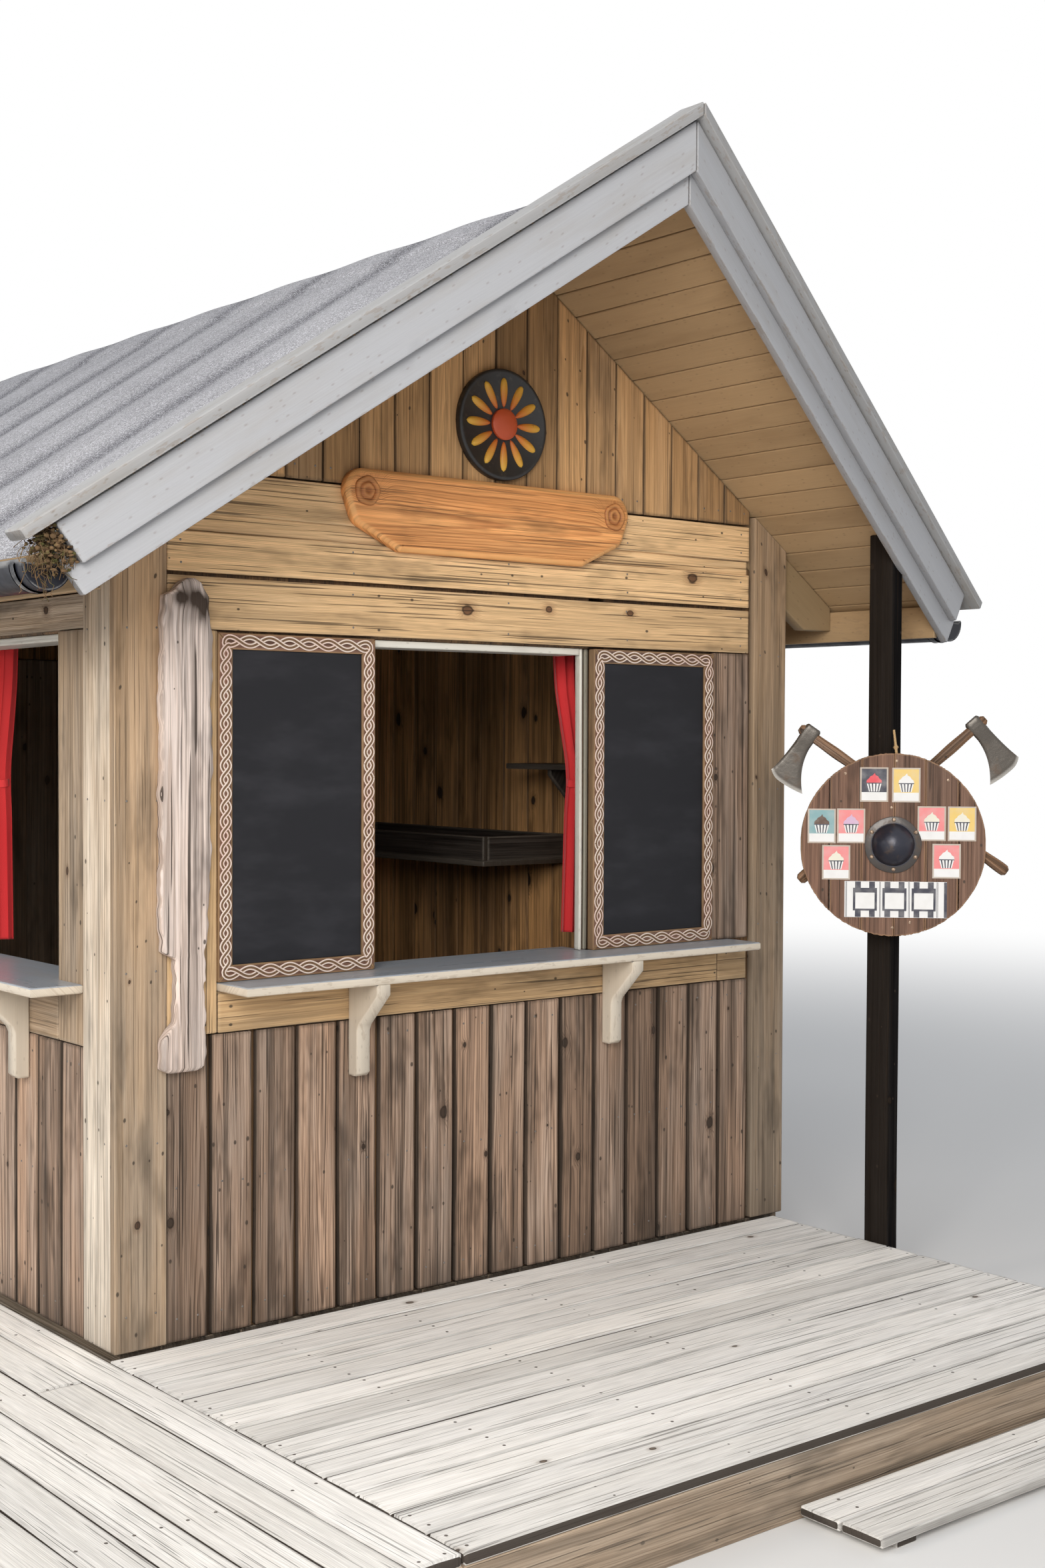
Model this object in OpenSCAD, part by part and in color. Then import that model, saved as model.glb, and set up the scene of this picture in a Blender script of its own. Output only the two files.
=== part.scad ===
// A small timber market hut: stud walls clad in spruce boards, a steep felt roof whose
// front gable juts out like a prow, serving hatches with counters, and timber decks.
// Inside the model x runs across the hut from its left wall, y into its depth from the
// front cladding, and z upwards from the top of the deck. All sizes are millimetres.

/* [Hut] */
// Width over the cladding
hut_w = 2500; // [2300:10:3000]
// Depth over the cladding
hut_d = 3600; // [3200:10:5000]
// Height of the deck and the floor above the ground
deck_h = 180; // [140:5:260]
// Thickness of the stud frame with its lining
frame_t = 110; // [80:5:150]
// Thickness of a cladding board
board_t = 22; // [16:1:28]
// Width of one upright cladding board with its groove
board_pitch = 138; // [100:1:180]
// Open groove between two upright boards
board_groove = 16; // [6:1:24]
// Width of the corner boards
corner_w = 148; // [100:1:180]
// Thickness of the corner boards
corner_t = 26; // [22:1:32]
// Joint between boards that meet in one wall
joint_gap = 3; // [1:0.5:6]
// Thickness of the floor
floor_t = 28; // [22:1:40]

/* [Roof] */
// Slope of the roof in degrees
pitch = 35; // [28:0.5:42]
// Underside of the roof boards over the side walls, above the deck
soffit_z = 2258; // [2246:1:2300]
// Thickness of the roof boards
sarking_t = 22; // [18:1:28]
// Height of a rafter, square to the slope
rafter_h = 145; // [95:5:170]
// Width of a rafter
rafter_w = 45; // [36:1:60]
// Number of rafter pairs
rafter_n = 7; // [5:1:9]
// How far the ridge juts out in front of the wall
prow_reach = 850; // [600:10:1000]
// How much the gable edge comes back for each unit sideways
prow_rake = 0.24; // [0.1:0.01:0.3]
// Overhang of the rear gable
rear_reach = 300; // [200:10:500]
// Overhang of the roof boards beyond the side walls
eave_reach = 330; // [300:5:400]
// Thickness of the roofing felt in a trough
felt_t = 5; // [3:1:8]
// Height of the waves in the felt
wave_h = 18; // [6:1:24]
// Distance from wave to wave
wave_pitch = 520; // [300:10:700]
// From the roof boards over the side walls down to the top of the wall frame
plate_drop = 138; // [128:1:148]

/* [Barge boards and gutters] */
// Thickness of each barge board
barge_t = 28; // [20:1:34]
// Width of the outer barge board
barge_outer_w = 114; // [95:1:145]
// Width of the inner barge board
barge_inner_w = 145; // [120:1:170]
// How far the outer board hangs below the soffit
barge_outer_drop = 17; // [5:1:40]
// How far the inner board hangs below the soffit
barge_inner_drop = 84; // [60:1:110]
// Distance from the side wall to the lower end of the outer barge board
barge_reach = 331; // [301:5:381]
// How much further the inner barge board runs down the slope
barge_inner_more = 29; // [0:1:60]
// Thickness of the cap on the barge boards
cap_t = 30; // [20:1:36]
// How far the cap stands out in front
cap_nose = 28; // [10:1:40]
// How far the cap runs back behind the outer board
cap_back = 34; // [28:1:60]
// How much further the cap runs down the slope than the outer board
cap_more = 85; // [40:5:120]
// Open mitre at the peak
mitre_gap = 3; // [1:0.5:6]
// Thickness of the eave fascias
fascia_t = 22; // [18:1:28]
// Distance from the side wall to the back of the fascia
fascia_reach = 258; // [240:1:280]
// Height of the eave fascia at its back
fascia_h = 120; // [100:1:145]
// Height of the rafter tails behind the fascia
tail_h = 81; // [60:1:100]
// Outside diameter of the half-round gutters
gutter_d = 125; // [100:1:150]
// Wall of the gutters
gutter_wall = 4; // [3:0.5:6]
// From the lower edge of the roof boards down to the gutter's rim
gutter_drop = 14; // [8:1:30]
// Distance from the side wall to the gutter's centre
gutter_reach = 378; // [360:1:400]
// Number of brackets on a gutter
gutter_brackets = 6; // [3:1:8]

/* [Hatches and counters] */
// Left edge of the front hatch
hatch_x0 = 812; // [700:2:950]
// Right edge of the front hatch
hatch_x1 = 1640; // [1500:2:1800]
// Front edge of the side hatch
side_hatch_y0 = 333; // [321:2:501]
// Rear edge of the side hatch
side_hatch_y1 = 1161; // [1051:2:1701]
// Head of both hatches
hatch_z1 = 1898; // [1890:1:1904]
// Top of both counters
counter_z = 957; // [900:1:1000]
// Thickness of the counters
counter_t = 25; // [18:1:36]
// How far the counters stand out
counter_reach = 150; // [120:5:220]
// Left end of the front counter
counter_x0 = 305; // [280:1:340]
// From the front counter's right end to the hut's right edge
counter_inset = 260; // [200:1:310]
// Width of a counter bracket
bracket_w = 45; // [36:1:60]
// Height of a counter bracket
bracket_h = 268; // [200:1:300]
// Places of the front brackets
bracket_front_x = [748, 1705];
// Places of the side brackets
bracket_side_y = [531, 1020];
// Thickness of the white hatch frame at the sill and the left jamb
hatch_frame_t = 10; // [8:1:20]
// Width of the white track on the right of the front hatch
hatch_track_w = 54; // [30:1:60]
// Depth of the white head track
hatch_head_h = 21; // [15:1:30]
// Thickness of the folds of a curtain
curtain_t = 45; // [25:1:60]
// Top of the tray shelf inside, above the deck
tray_z = 1262; // [1100:2:1300]
// Height of the tray's rim
tray_h = 108; // [70:1:130]
// How far the front curtain hangs over its hatch
curtain_over_front = 24; // [0:1:80]
// How far the side curtain hangs over its hatch
curtain_over_side = 211; // [100:1:240]
// Depth of the tray from the wall
tray_depth = 400; // [300:5:450]
// Top of the small bracket shelf inside
shelf_z = 1527; // [1500:1:1600]
// Depth of the bracket shelf
shelf_depth = 250; // [160:5:300]

/* [Chalkboards and signs] */
// Outer edge of the left chalkboard
chalk_x0 = 302; // [290:1:320]
// From the right chalkboard to the hut's right edge
chalk_inset = 338; // [320:1:360]
// Thickness of a chalkboard with its frame
chalk_t = 28; // [22:1:34]
// Width of the chalkboard frames
chalk_rim = 44; // [30:1:60]
// Depth of the black panel behind its frame
chalk_sink = 6; // [3:1:12]
// Length of the sign plaque
plaque_w = 1066; // [900:2:1200]
// How far the plaque's middle lies left of the hut's middle
plaque_shift = 22; // [0:1:60]
// Lower edge of the sign plaque
plaque_z0 = 2148; // [2120:1:2160]
// Upper edge of the sign plaque
plaque_z1 = 2375; // [2360:1:2380]
// Thickness of the sign plaque
plaque_t = 34; // [20:1:45]
// Diameter of the round gable ornament
rosette_d = 330; // [250:2:360]
// Centre of the gable ornament above the deck
rosette_z = 2550; // [2545:1:2600]
// Thickness of the ornament's disc
rosette_t = 24; // [15:1:30]
// Number of petals
petal_n = 12; // [6:1:16]
// Thickness of the driftwood plank
driftwood_t = 34; // [24:1:45]
// Mean width of the driftwood plank
driftwood_w = 116; // [90:2:130]
// Length of the driftwood plank
driftwood_len = 1302; // [1100:2:1310]
// Foot of the driftwood plank above the deck
driftwood_z = 733; // [600:1:740]

/* [Post and shield] */
// Width of the roof post
post_w = 45; // [45:1:70]
// Depth of the roof post
post_d = 98; // [90:1:120]
// Place of the post beyond the deck's edge
post_gap = 10; // [2:1:30]
// Diameter of the round shield board
shield_d = 580; // [500:5:640]
// Thickness of the shield board
shield_t = 22; // [16:1:28]
// Height of the shield's centre above the deck
shield_z = 1287; // [1100:1:1400]
// Diameter of the boss flange
flange_d = 178; // [150:1:200]
// Diameter of the boss dome
dome_d = 135; // [110:1:145]
// Thickness of an axe handle
handle_t = 22; // [18:1:28]
// Width of an axe handle
handle_w = 36; // [28:1:42]
// Length of an axe handle
handle_len = 780; // [720:5:860]
// Slope of an axe handle
handle_tilt = 42; // [35:1:50]
// How far above the shield's centre the handles cross
handle_cross = 140; // [60:5:160]
// Length of an axe head from the handle to its edge
axe_head_len = 165; // [120:5:190]

/* [Decks] */
// How far the decks run in front of the hut
deck_reach = 1520; // [1100:5:2000]
// Width of one deck board with its gap
deck_pitch = 125; // [100:1:150]
// Gap between deck boards
deck_gap = 6; // [3:1:10]
// Thickness of the deck boards
deck_t = 28; // [22:1:36]
// Number of boards in the side deck
side_boards = 10; // [6:1:14]
// Space between the joists' centres
joist_space = 480; // [350:10:500]
// Width of a joist and of the rim
joist_w = 45; // [36:1:60]
// Left end of the front step
step_x0 = 940; // [700:5:1200]
// Height of the front step
step_h = 40; // [34:1:80]
// Thickness of the battens under the step
step_batten_h = 16; // [12:1:22]

/* [Hidden] */
$fn = 48;

// Walls
mid_x = hut_w / 2;
wall_in = board_t + frame_t;
touch = 0.3;
skirt_z = -120;
row_gap = 8;

// Levels of the front boards, from the counter up
jamb_w = 150;
band_h = 111;
band_z = counter_z - counter_t - band_h;
side_band_h = 141;
side_band_z = counter_z - counter_t - side_band_h;
jamb_top = 1905;
row3 = [1905, 2048];
row2 = [2056, 2167];
row1 = [2212, 2327];
gable_z = 2330;
gable_pitch = 123;
gable_groove = 4;
front_foot = 8;
driftwood_x = 216;
inner_x0 = corner_w + joint_gap;
inner_x1 = hut_w - 170;
narrow_x = hut_w - 310;

// Right-hand pieces of the front
counter_x1 = hut_w - counter_inset;
chalk_x1 = hut_w - chalk_inset;
plaque_x0 = mid_x - plaque_shift - plaque_w / 2;
plaque_x1 = plaque_x0 + plaque_w;

// Roof levels
ridge_z = soffit_z + tan(pitch) * mid_x;
plate_z = soffit_z - plate_drop;
function soffit(x) = ridge_z - tan(pitch) * abs(x - mid_x);
function under_rafter(x) = soffit(x) - rafter_h / cos(pitch);
function prow(x) = -prow_reach + prow_rake * abs(x - mid_x);
far = 6000;
eave_x = hut_w + eave_reach;
fascia_x = hut_w + fascia_reach;
fascia_z = soffit(fascia_x) - fascia_h;
tail_z = soffit(fascia_x) - tail_h;
gutter_z = soffit(eave_x) - gutter_drop;
side_top = under_rafter(hut_w) - joint_gap;
side_row_z = 1998;
roof_y0 = 2 * barge_t;
roof_y1 = hut_d + rear_reach;
slope_len = (mid_x + eave_reach) / cos(pitch);
barge_outer_len = (mid_x + barge_reach) / cos(pitch);
barge_inner_len = barge_outer_len + barge_inner_more;
cap_len = barge_outer_len + cap_more;
eave_len = 2 * slope_len;

// Decks
deck_x0 = -20;
deck_x1 = hut_w - 40;
side_deck_w = side_boards * deck_pitch - deck_gap;
joist_h = deck_h - deck_t;
side_x0 = deck_x0 - deck_gap - side_deck_w;

// Post
post_x = deck_x1 + post_gap;
post_y = prow(post_x) + roof_y0 + 2;

// Rear door
door_x0 = 820;
door_w = 860;
door_h = 1960;
door_t = 40;
door_clear = 4;

// The frame of each side of the hut: x along the wall, y into it, z up
module on_left() { mirror([1, -1, 0]) children(); }
module on_right() { translate([hut_w, 0, 0]) rotate([0, 0, 90]) children(); }
module on_rear() { translate([hut_w, hut_d, 0]) rotate([0, 0, 180]) children(); }

// A box given by its two corners
module box(a, b) { translate(a) cube(b - a); }

// An outline in the plane of a wall, drawn in x and z, from depth y0 to y1
module wall_sheet(y0, y1) {
    translate([0, y1, 0]) rotate([90, 0, 0]) linear_extrude(y1 - y0) children();
}

// Upright boards side by side from xa to xb, with an open groove after each
module upright_boards(xa, xb, za, zb, width, groove) {
    count = max(1, round((xb - xa + groove) / width));
    step = (xb - xa + groove) / count;
    for (i = [0 : count - 1])
        box([xa + i * step, 0, za], [xa + (i + 1) * step - groove, board_t, zb]);
}

// The room under the soffit, as an outline in x and z, lowered by drop
module under_soffit(drop) {
    polygon([
        [0, skirt_z], [hut_w, skirt_z], [hut_w, soffit(hut_w) - drop],
        [mid_x, ridge_z - drop], [0, soffit(0) - drop]
    ]);
}

// A panel of the gable frame from x0 to x1, with its top under the end rafters
module gable_panel(x0, x1, z0) {
    wall_sheet(board_t, wall_in) intersection() {
        under_soffit(rafter_h / cos(pitch));
        translate([x0, z0]) square([x1 - x0, ridge_z - z0]);
    }
}

// Walls of the hut
module floor() {
    color("#6b5a45")
        box([board_t, board_t, -floor_t], [hut_w - board_t, hut_d - board_t, 0]);
}

module floor_bearers() {
    bearer_w = 95;
    side = board_t + bearer_w / 2;
    color("#5a4d3d") for (x = [side, mid_x, hut_w - side])
        box([x - bearer_w / 2, board_t, -deck_h], [x + bearer_w / 2, hut_d - board_t, -floor_t]);
}

module front_wall_left() { color("#3f3329") gable_panel(wall_in, hatch_x0, 0); }

module front_wall_right() { color("#3f3329") gable_panel(hatch_x1, hut_w - wall_in, 0); }

module front_wall_below_hatch() {
    color("#3f3329")
        box([hatch_x0, board_t, 0], [hatch_x1, wall_in, counter_z - counter_t]);
}

module front_wall_over_hatch() { color("#3f3329") gable_panel(hatch_x0, hatch_x1, hatch_z1); }

module left_panel(y0, y1, z0, z1) {
    color("#3f3329") on_left() box([y0, board_t, z0], [y1, wall_in, z1]);
}

module left_wall_front() { left_panel(board_t, side_hatch_y0, 0, plate_z); }

module left_wall_rear() { left_panel(side_hatch_y1, hut_d - board_t, 0, plate_z); }

module left_wall_below_hatch() {
    left_panel(side_hatch_y0, side_hatch_y1, 0, counter_z - counter_t);
}

module left_wall_over_hatch() { left_panel(side_hatch_y0, side_hatch_y1, hatch_z1, plate_z); }

module right_wall() {
    color("#3f3329") on_right() box([board_t, board_t, 0], [hut_d - board_t, wall_in, plate_z]);
}

module rear_wall() {
    color("#3f3329") on_rear() difference() {
        gable_panel(wall_in, hut_w - wall_in, 0);
        box([door_x0, 0, -1], [door_x0 + door_w, wall_in + 1, door_h]);
    }
}

module rear_door() {
    plank = (door_w - 2 * door_clear) / 6;
    color("#7d6a52") on_rear() {
        box([door_x0 + door_clear, board_t, touch],
            [door_x0 + door_w - door_clear, board_t + door_t, door_h - door_clear]);
        for (i = [0 : 5])
            box([door_x0 + door_clear + i * plank, board_t - 18, touch],
                [door_x0 + door_clear + (i + 1) * plank - 3, board_t, door_h - door_clear]);
    }
}

// Cladding
module front_cladding() {
    color("#84705a")
        upright_boards(inner_x0, inner_x1, front_foot, band_z - joint_gap, board_pitch, board_groove);
}

// The level boards of the front, the band under the counter and the upright jamb boards
module front_header_boards() {
    right_jamb = chalk_x1 + joint_gap;
    color("#93795a") {
        for (row = [row3, row2, row1])
            box([inner_x0, 0, row[0]], [inner_x1, board_t, row[1] - joint_gap]);
        box([inner_x0, 0, band_z], [inner_x0 + jamb_w, board_t, jamb_top - joint_gap]);
        box([counter_x0, 0, band_z], [narrow_x, board_t, counter_z - counter_t]);
        box([narrow_x + joint_gap, 0, band_z], [inner_x1 - joint_gap, board_t, counter_z - counter_t]);
        box([right_jamb, 0, counter_z], [narrow_x, board_t, jamb_top - joint_gap]);
        box([narrow_x + joint_gap, 0, counter_z], [inner_x1, board_t, jamb_top - joint_gap]);
    }
}

module gable_cladding() {
    color("#8f7658") intersection() {
        upright_boards(inner_x0, inner_x1, gable_z, ridge_z, gable_pitch, gable_groove);
        wall_sheet(-1, board_t + 1) under_soffit(0);
    }
}

module left_cladding() {
    inner = corner_w + corner_t + joint_gap;
    jamb_end = side_hatch_y0 - joint_gap;
    rear_end = hut_d - inner;
    rear_jamb = side_hatch_y1 + joint_gap + jamb_w;
    color("#a8967c") on_left() {
        for (row = [[jamb_top, side_row_z], [side_row_z + joint_gap, side_top]])
            box([inner, 0, row[0]], [rear_end, board_t, row[1]]);
        box([inner, 0, side_band_z], [jamb_end, board_t, jamb_top - joint_gap]);
        box([side_hatch_y1 + joint_gap, 0, side_band_z],
            [rear_jamb, board_t, jamb_top - joint_gap]);
        box([jamb_end + joint_gap, 0, side_band_z],
            [side_hatch_y1, board_t, counter_z - counter_t]);
        upright_boards(inner, rear_jamb, front_foot, side_band_z - joint_gap,
            board_pitch, board_groove);
        upright_boards(rear_jamb + board_groove, rear_end, front_foot, jamb_top - joint_gap,
            board_pitch, board_groove);
    }
}

module right_cladding() {
    inner = corner_w + corner_t + joint_gap;
    color("#84705a") on_right()
        upright_boards(inner, hut_d - inner, skirt_z, side_top, board_pitch, board_groove);
}

module rear_cladding() {
    color("#84705a") on_rear() difference() {
        intersection() {
            upright_boards(corner_w + joint_gap, hut_w - corner_w - joint_gap, skirt_z, ridge_z,
                board_pitch, board_groove);
            wall_sheet(-1, board_t + 1) under_soffit(0);
        }
        box([door_x0, -1, 0], [door_x0 + door_w, board_t + 1, door_h]);
    }
}

// Two boards lapped round each corner: the gable board covers the side board's edge
module corner_boards() {
    rise = board_t - corner_t;
    color("#8f7a60") {
        for (far_end = [0, 1], right = [0, 1])
            translate([right * hut_w, far_end * hut_d, 0])
                mirror([right, 0, 0]) mirror([0, far_end, 0]) {
                    foot = (far_end == 0) ? front_foot : skirt_z;
                    side_foot = (right == 0) ? front_foot : skirt_z;
                    wall_sheet(rise, board_t) polygon([
                        [rise, foot], [corner_w, foot],
                        [corner_w, soffit(corner_w)], [rise, soffit(rise)]
                    ]);
                    box([rise, board_t + touch, side_foot],
                        [board_t, corner_w + corner_t, side_top - row_gap]);
                }
    }
}

// Roof
// The right-hand slope: x down the slope from the ridge, z square to the soffit
module on_slope() { translate([mid_x, 0, ridge_z]) rotate([0, pitch, 0]) children(); }

module both_slopes() {
    children();
    translate([hut_w, 0, 0]) mirror([1, 0, 0]) children();
}

// A vertical prism over the right-hand half of the roof, from the prow line to y1
module half_plan(x0, x1, front_in, y1) {
    translate([0, 0, -far / 2]) linear_extrude(2 * far) polygon([
        [x0, prow(x0) + front_in], [x1, prow(x1) + front_in], [x1, y1], [x0, y1]
    ]);
}

// A strip of the same plan that follows the prow line, from depth a to depth b
module prow_strip(x0, x1, a, b) {
    translate([0, 0, -far / 2]) linear_extrude(2 * far) polygon([
        [x0, prow(x0) + a], [x1, prow(x1) + a], [x1, prow(x1) + b], [x0, prow(x0) + b]
    ]);
}

// A flat layer on the right-hand slope, between two heights over the soffit
module slope_layer(n0, n1, len) {
    on_slope() box([-far / 10, -prow_reach - cap_nose - 1, n0], [len, roof_y1 + 100, n1]);
}

module roof_slope() {
    intersection() {
        slope_layer(0, sarking_t, eave_len);
        half_plan(mid_x, eave_x, roof_y0, roof_y1 - roof_y0);
    }
}

module roof_boards_left() {
    color("#b9a98c") translate([hut_w, 0, 0]) mirror([1, 0, 0]) roof_slope();
}

module roof_boards_right() { color("#b9a98c") roof_slope(); }

// Felt laid in soft waves that run from the ridge to the eave
function wave(y) = felt_t + wave_h * (1 + cos(360 * (y + 150) / wave_pitch + 180)) / 2;

module felt_slope() {
    steps = 12 * round((roof_y1 + prow_reach) / wave_pitch);
    run = (roof_y1 + prow_reach) / steps;
    crest = [for (i = [0 : steps]) [i * run - prow_reach, sarking_t + wave(i * run - prow_reach)]];
    intersection() {
        on_slope() translate([-far / 10, 0, 0]) rotate([90, 0, 90]) linear_extrude(far)
            polygon(concat([[roof_y1, sarking_t], [-prow_reach, sarking_t]], crest));
        half_plan(mid_x, eave_x + 12, roof_y0, roof_y1 - roof_y0);
    }
}

module roof_felt() { color("#8b8b92") both_slopes() felt_slope(); }

module rafter() {
    difference() {
        intersection() {
            on_slope() box([-far / 10, 0, -rafter_h], [eave_len, rafter_w, 0]);
            wall_sheet(-1, rafter_w + 1) translate([mid_x + mitre_gap / 2, tail_z])
                square([fascia_x - mid_x - mitre_gap / 2, far]);
        }
        box([hut_w - wall_in - 1, -1, tail_z - 1], [hut_w - board_t, rafter_w + 1, plate_z]);
    }
}

rafter_step = (hut_d - 2 * board_t - rafter_w) / (rafter_n - 1);

module rafters() {
    color("#b9a98c") both_slopes() for (i = [0 : rafter_n - 1])
        translate([0, board_t + i * rafter_step, 0]) rafter();
}

// Blocks that close the gap over the wall plate between two rafters
module eave_blocking() {
    block_t = 34;
    x1 = hut_w - board_t;
    color("#6f5d48") both_slopes() for (i = [0 : rafter_n - 2])
        wall_sheet(board_t + i * rafter_step + rafter_w + touch,
            board_t + (i + 1) * rafter_step - touch)
            polygon([
                [x1 - block_t, plate_z], [x1, plate_z], [x1, soffit(x1)],
                [x1 - block_t, soffit(x1 - block_t)]
            ]);
}

// One board of the prow gable, on the right-hand slope
module prow_board(n0, n1, len, a, b) {
    intersection() {
        slope_layer(n0, n1, len);
        prow_strip(mid_x + mitre_gap / 2, hut_w + 2 * eave_reach, a, b);
    }
}

module barge_boards_outer() {
    color("#b4b4b2") both_slopes()
        prow_board(-barge_outer_drop, barge_outer_w - barge_outer_drop, barge_outer_len, 0, barge_t);
}

module barge_boards_inner() {
    color("#b4b4b2") both_slopes()
        prow_board(-barge_inner_drop, barge_inner_w - barge_inner_drop, barge_inner_len,
            barge_t, roof_y0);
}

module barge_caps() {
    cap_n = barge_outer_w - barge_outer_drop;
    color("#bdbdba") both_slopes()
        prow_board(cap_n, cap_n + cap_t, cap_len, -cap_nose, barge_t + cap_back);
}

// The rear gable has straight boards of the same make
module rear_barge_boards() {
    cap_n = barge_outer_w - barge_outer_drop;
    y0 = roof_y1 - roof_y0;
    color("#b4b4b2") both_slopes() intersection() {
        on_slope() {
            box([-far / 10, y0, -barge_inner_drop],
                [barge_inner_len, roof_y1 - barge_t, barge_inner_w - barge_inner_drop]);
            box([-far / 10, roof_y1 - barge_t, -barge_outer_drop],
                [barge_outer_len, roof_y1, cap_n]);
            box([-far / 10, y0, cap_n], [cap_len, roof_y1 + cap_nose, cap_n + cap_t]);
        }
        translate([mid_x + mitre_gap / 2, -far, -far]) cube(3 * far);
    }
}

module eave_fascias() {
    x0 = fascia_x;
    x1 = fascia_x + fascia_t;
    color("#a89878") both_slopes() intersection() {
        wall_sheet(-prow_reach, roof_y1 - roof_y0)
            polygon([[x0, fascia_z], [x1, fascia_z], [x1, soffit(x1)], [x0, soffit(x0)]]);
        half_plan(x0, x1, roof_y0, roof_y1 - roof_y0);
    }
}

// Half-round gutters with stop ends at the rear, hung on straps from the fascia
module gutters() {
    r = gutter_d / 2;
    y0 = -400;
    y1 = roof_y1 - roof_y0 - 20;
    strap_t = 3;
    strap_w = 25;
    x = hut_w + gutter_reach;
    color("#2e3034") both_slopes() {
        translate([x, y1, gutter_z]) rotate([90, 0, 0]) {
            linear_extrude(y1 - y0) intersection() {
                difference() { circle(r); circle(r - gutter_wall); }
                translate([-r, -r]) square([2 * r, r]);
            }
            linear_extrude(gutter_wall) intersection() {
                circle(r - gutter_wall / 2);
                translate([-r, -r]) square([2 * r, r]);
            }
        }
        for (i = [0 : gutter_brackets - 1])
            translate([x, y0 + 60 + i * (y1 - y0 - 160) / (gutter_brackets - 1), gutter_z])
                rotate([90, 0, 0]) {
                    linear_extrude(strap_w) intersection() {
                        difference() { circle(r + strap_t); circle(r - gutter_wall / 2); }
                        translate([-far, -far]) square([2 * far, far]);
                    }
                    translate([fascia_x + fascia_t - x, -strap_w, 0])
                        cube([x - r + 1 - fascia_x - fascia_t, strap_w, strap_w]);
                }
    }
}

// Counters
module front_counter() {
    z0 = counter_z - counter_t;
    color("#9aa3ad") {
        box([counter_x0, -counter_reach, z0], [counter_x1, 0, counter_z]);
        box([counter_x0, -1, z0], [narrow_x, board_t, counter_z]);
        box([hatch_x0, board_t - 1, z0], [hatch_x1, wall_in + 12, counter_z]);
    }
}

module side_counter() {
    z0 = counter_z - counter_t;
    color("#a89f92") on_left() {
        box([side_hatch_y0 - jamb_w, -counter_reach, z0],
            [side_hatch_y1 + jamb_w, 0, counter_z]);
        box([side_hatch_y0, -1, z0], [side_hatch_y1, wall_in + 12, counter_z]);
    }
}

// A bracket cut from one board: an upright leg with a sloping front and a level arm
module bracket(leg) {
    top = counter_z - counter_t;
    arm = counter_reach - 50;
    rotate([90, 0, 90]) linear_extrude(bracket_w) polygon([
        [0, top], [-arm - leg, top], [-arm - leg, top - 30], [-leg, top - 30 - arm],
        [-leg, top - bracket_h + 12], [-leg + 12, top - bracket_h], [0, top - bracket_h]
    ]);
}

module counter_brackets() {
    color("#b9aa8e") {
        for (x = bracket_front_x) translate([x - bracket_w / 2, 0, 0]) bracket(45);
        on_left() for (y = bracket_side_y) translate([y - bracket_w / 2, 0, 0]) bracket(45);
    }
}

// Hatch fittings
module chalkboard(x0, x1) {
    z0 = counter_z + touch;
    z1 = jamb_top - row_gap;
    difference() {
        box([x0, board_t - chalk_t, z0], [x1, board_t, z1]);
        box([x0 + chalk_rim, board_t - chalk_t - 1, z0 + chalk_rim],
            [x1 - chalk_rim, board_t - chalk_t + chalk_sink, z1 - chalk_rim]);
    }
}

module chalkboards() {
    color("#1d1f22") {
        chalkboard(chalk_x0, hatch_x0);
        chalkboard(hatch_x1, chalk_x1);
    }
}

module hatch_frames() {
    color("#d9d6cc") {
        wall_sheet(board_t, wall_in) difference() {
            translate([hatch_x0, counter_z]) square([hatch_x1 - hatch_x0, hatch_z1 - counter_z]);
            translate([hatch_x0 + hatch_frame_t, counter_z - 1])
                square([hatch_x1 - hatch_track_w - hatch_x0 - hatch_frame_t,
                    hatch_z1 - hatch_head_h - counter_z + 1]);
        }
        on_left() wall_sheet(board_t, wall_in) difference() {
            translate([side_hatch_y0, counter_z])
                square([side_hatch_y1 - side_hatch_y0, hatch_z1 - counter_z]);
            translate([side_hatch_y0 + hatch_frame_t, counter_z - 1])
                square([side_hatch_y1 - side_hatch_y0 - 2 * hatch_frame_t,
                    hatch_z1 - hatch_head_h - counter_z + 1]);
        }
    }
}

// A cloth tied in at its waist, hanging inside a wall: x along the wall from its free edge
module curtain() {
    top = hatch_z1 + 32;
    waist = 1475;
    foot = counter_z + 43;
    translate([0, wall_in + touch + curtain_t, 0]) rotate([90, 0, 0]) linear_extrude(curtain_t)
        polygon([[0, top], [245, top], [185, waist], [245, foot], [65, foot], [97, waist]]);
}

module hatch_curtains() {
    color("#b5202c") {
        translate([hatch_x1 - curtain_over_front, 0, 0]) curtain();
        on_left() translate([side_hatch_y1 - curtain_over_side, 0, 0]) curtain();
    }
}

// A tray shelf and a small bracket shelf on the inside of the right wall
module inner_shelves() {
    wall_x = hut_w - wall_in - touch;
    tray_x = wall_x - tray_depth;
    tray_y = 970;
    tray_end = 2200;
    rim_t = 20;
    shelf_y = 660;
    shelf_end = 1030;
    brace_y = 0.6 * shelf_y + 0.4 * shelf_end;
    color("#26221f") {
        difference() {
            box([tray_x, tray_y, tray_z - tray_h], [wall_x, tray_end, tray_z]);
            box([tray_x + rim_t, tray_y + rim_t, tray_z - tray_h + rim_t],
                [wall_x - rim_t, tray_end - rim_t, tray_z + 1]);
        }
        box([wall_x - shelf_depth, shelf_y, shelf_z - rim_t], [wall_x, shelf_end, shelf_z]);
        translate([0, brace_y + rim_t, 0]) rotate([90, 0, 0]) linear_extrude(rim_t) polygon([
            [wall_x, shelf_z - rim_t], [wall_x - shelf_depth + 30, shelf_z - rim_t],
            [wall_x - shelf_depth + 30, shelf_z - 2 * rim_t], [wall_x - rim_t, shelf_z - 250],
            [wall_x, shelf_z - 250]
        ]);
    }
}

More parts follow.
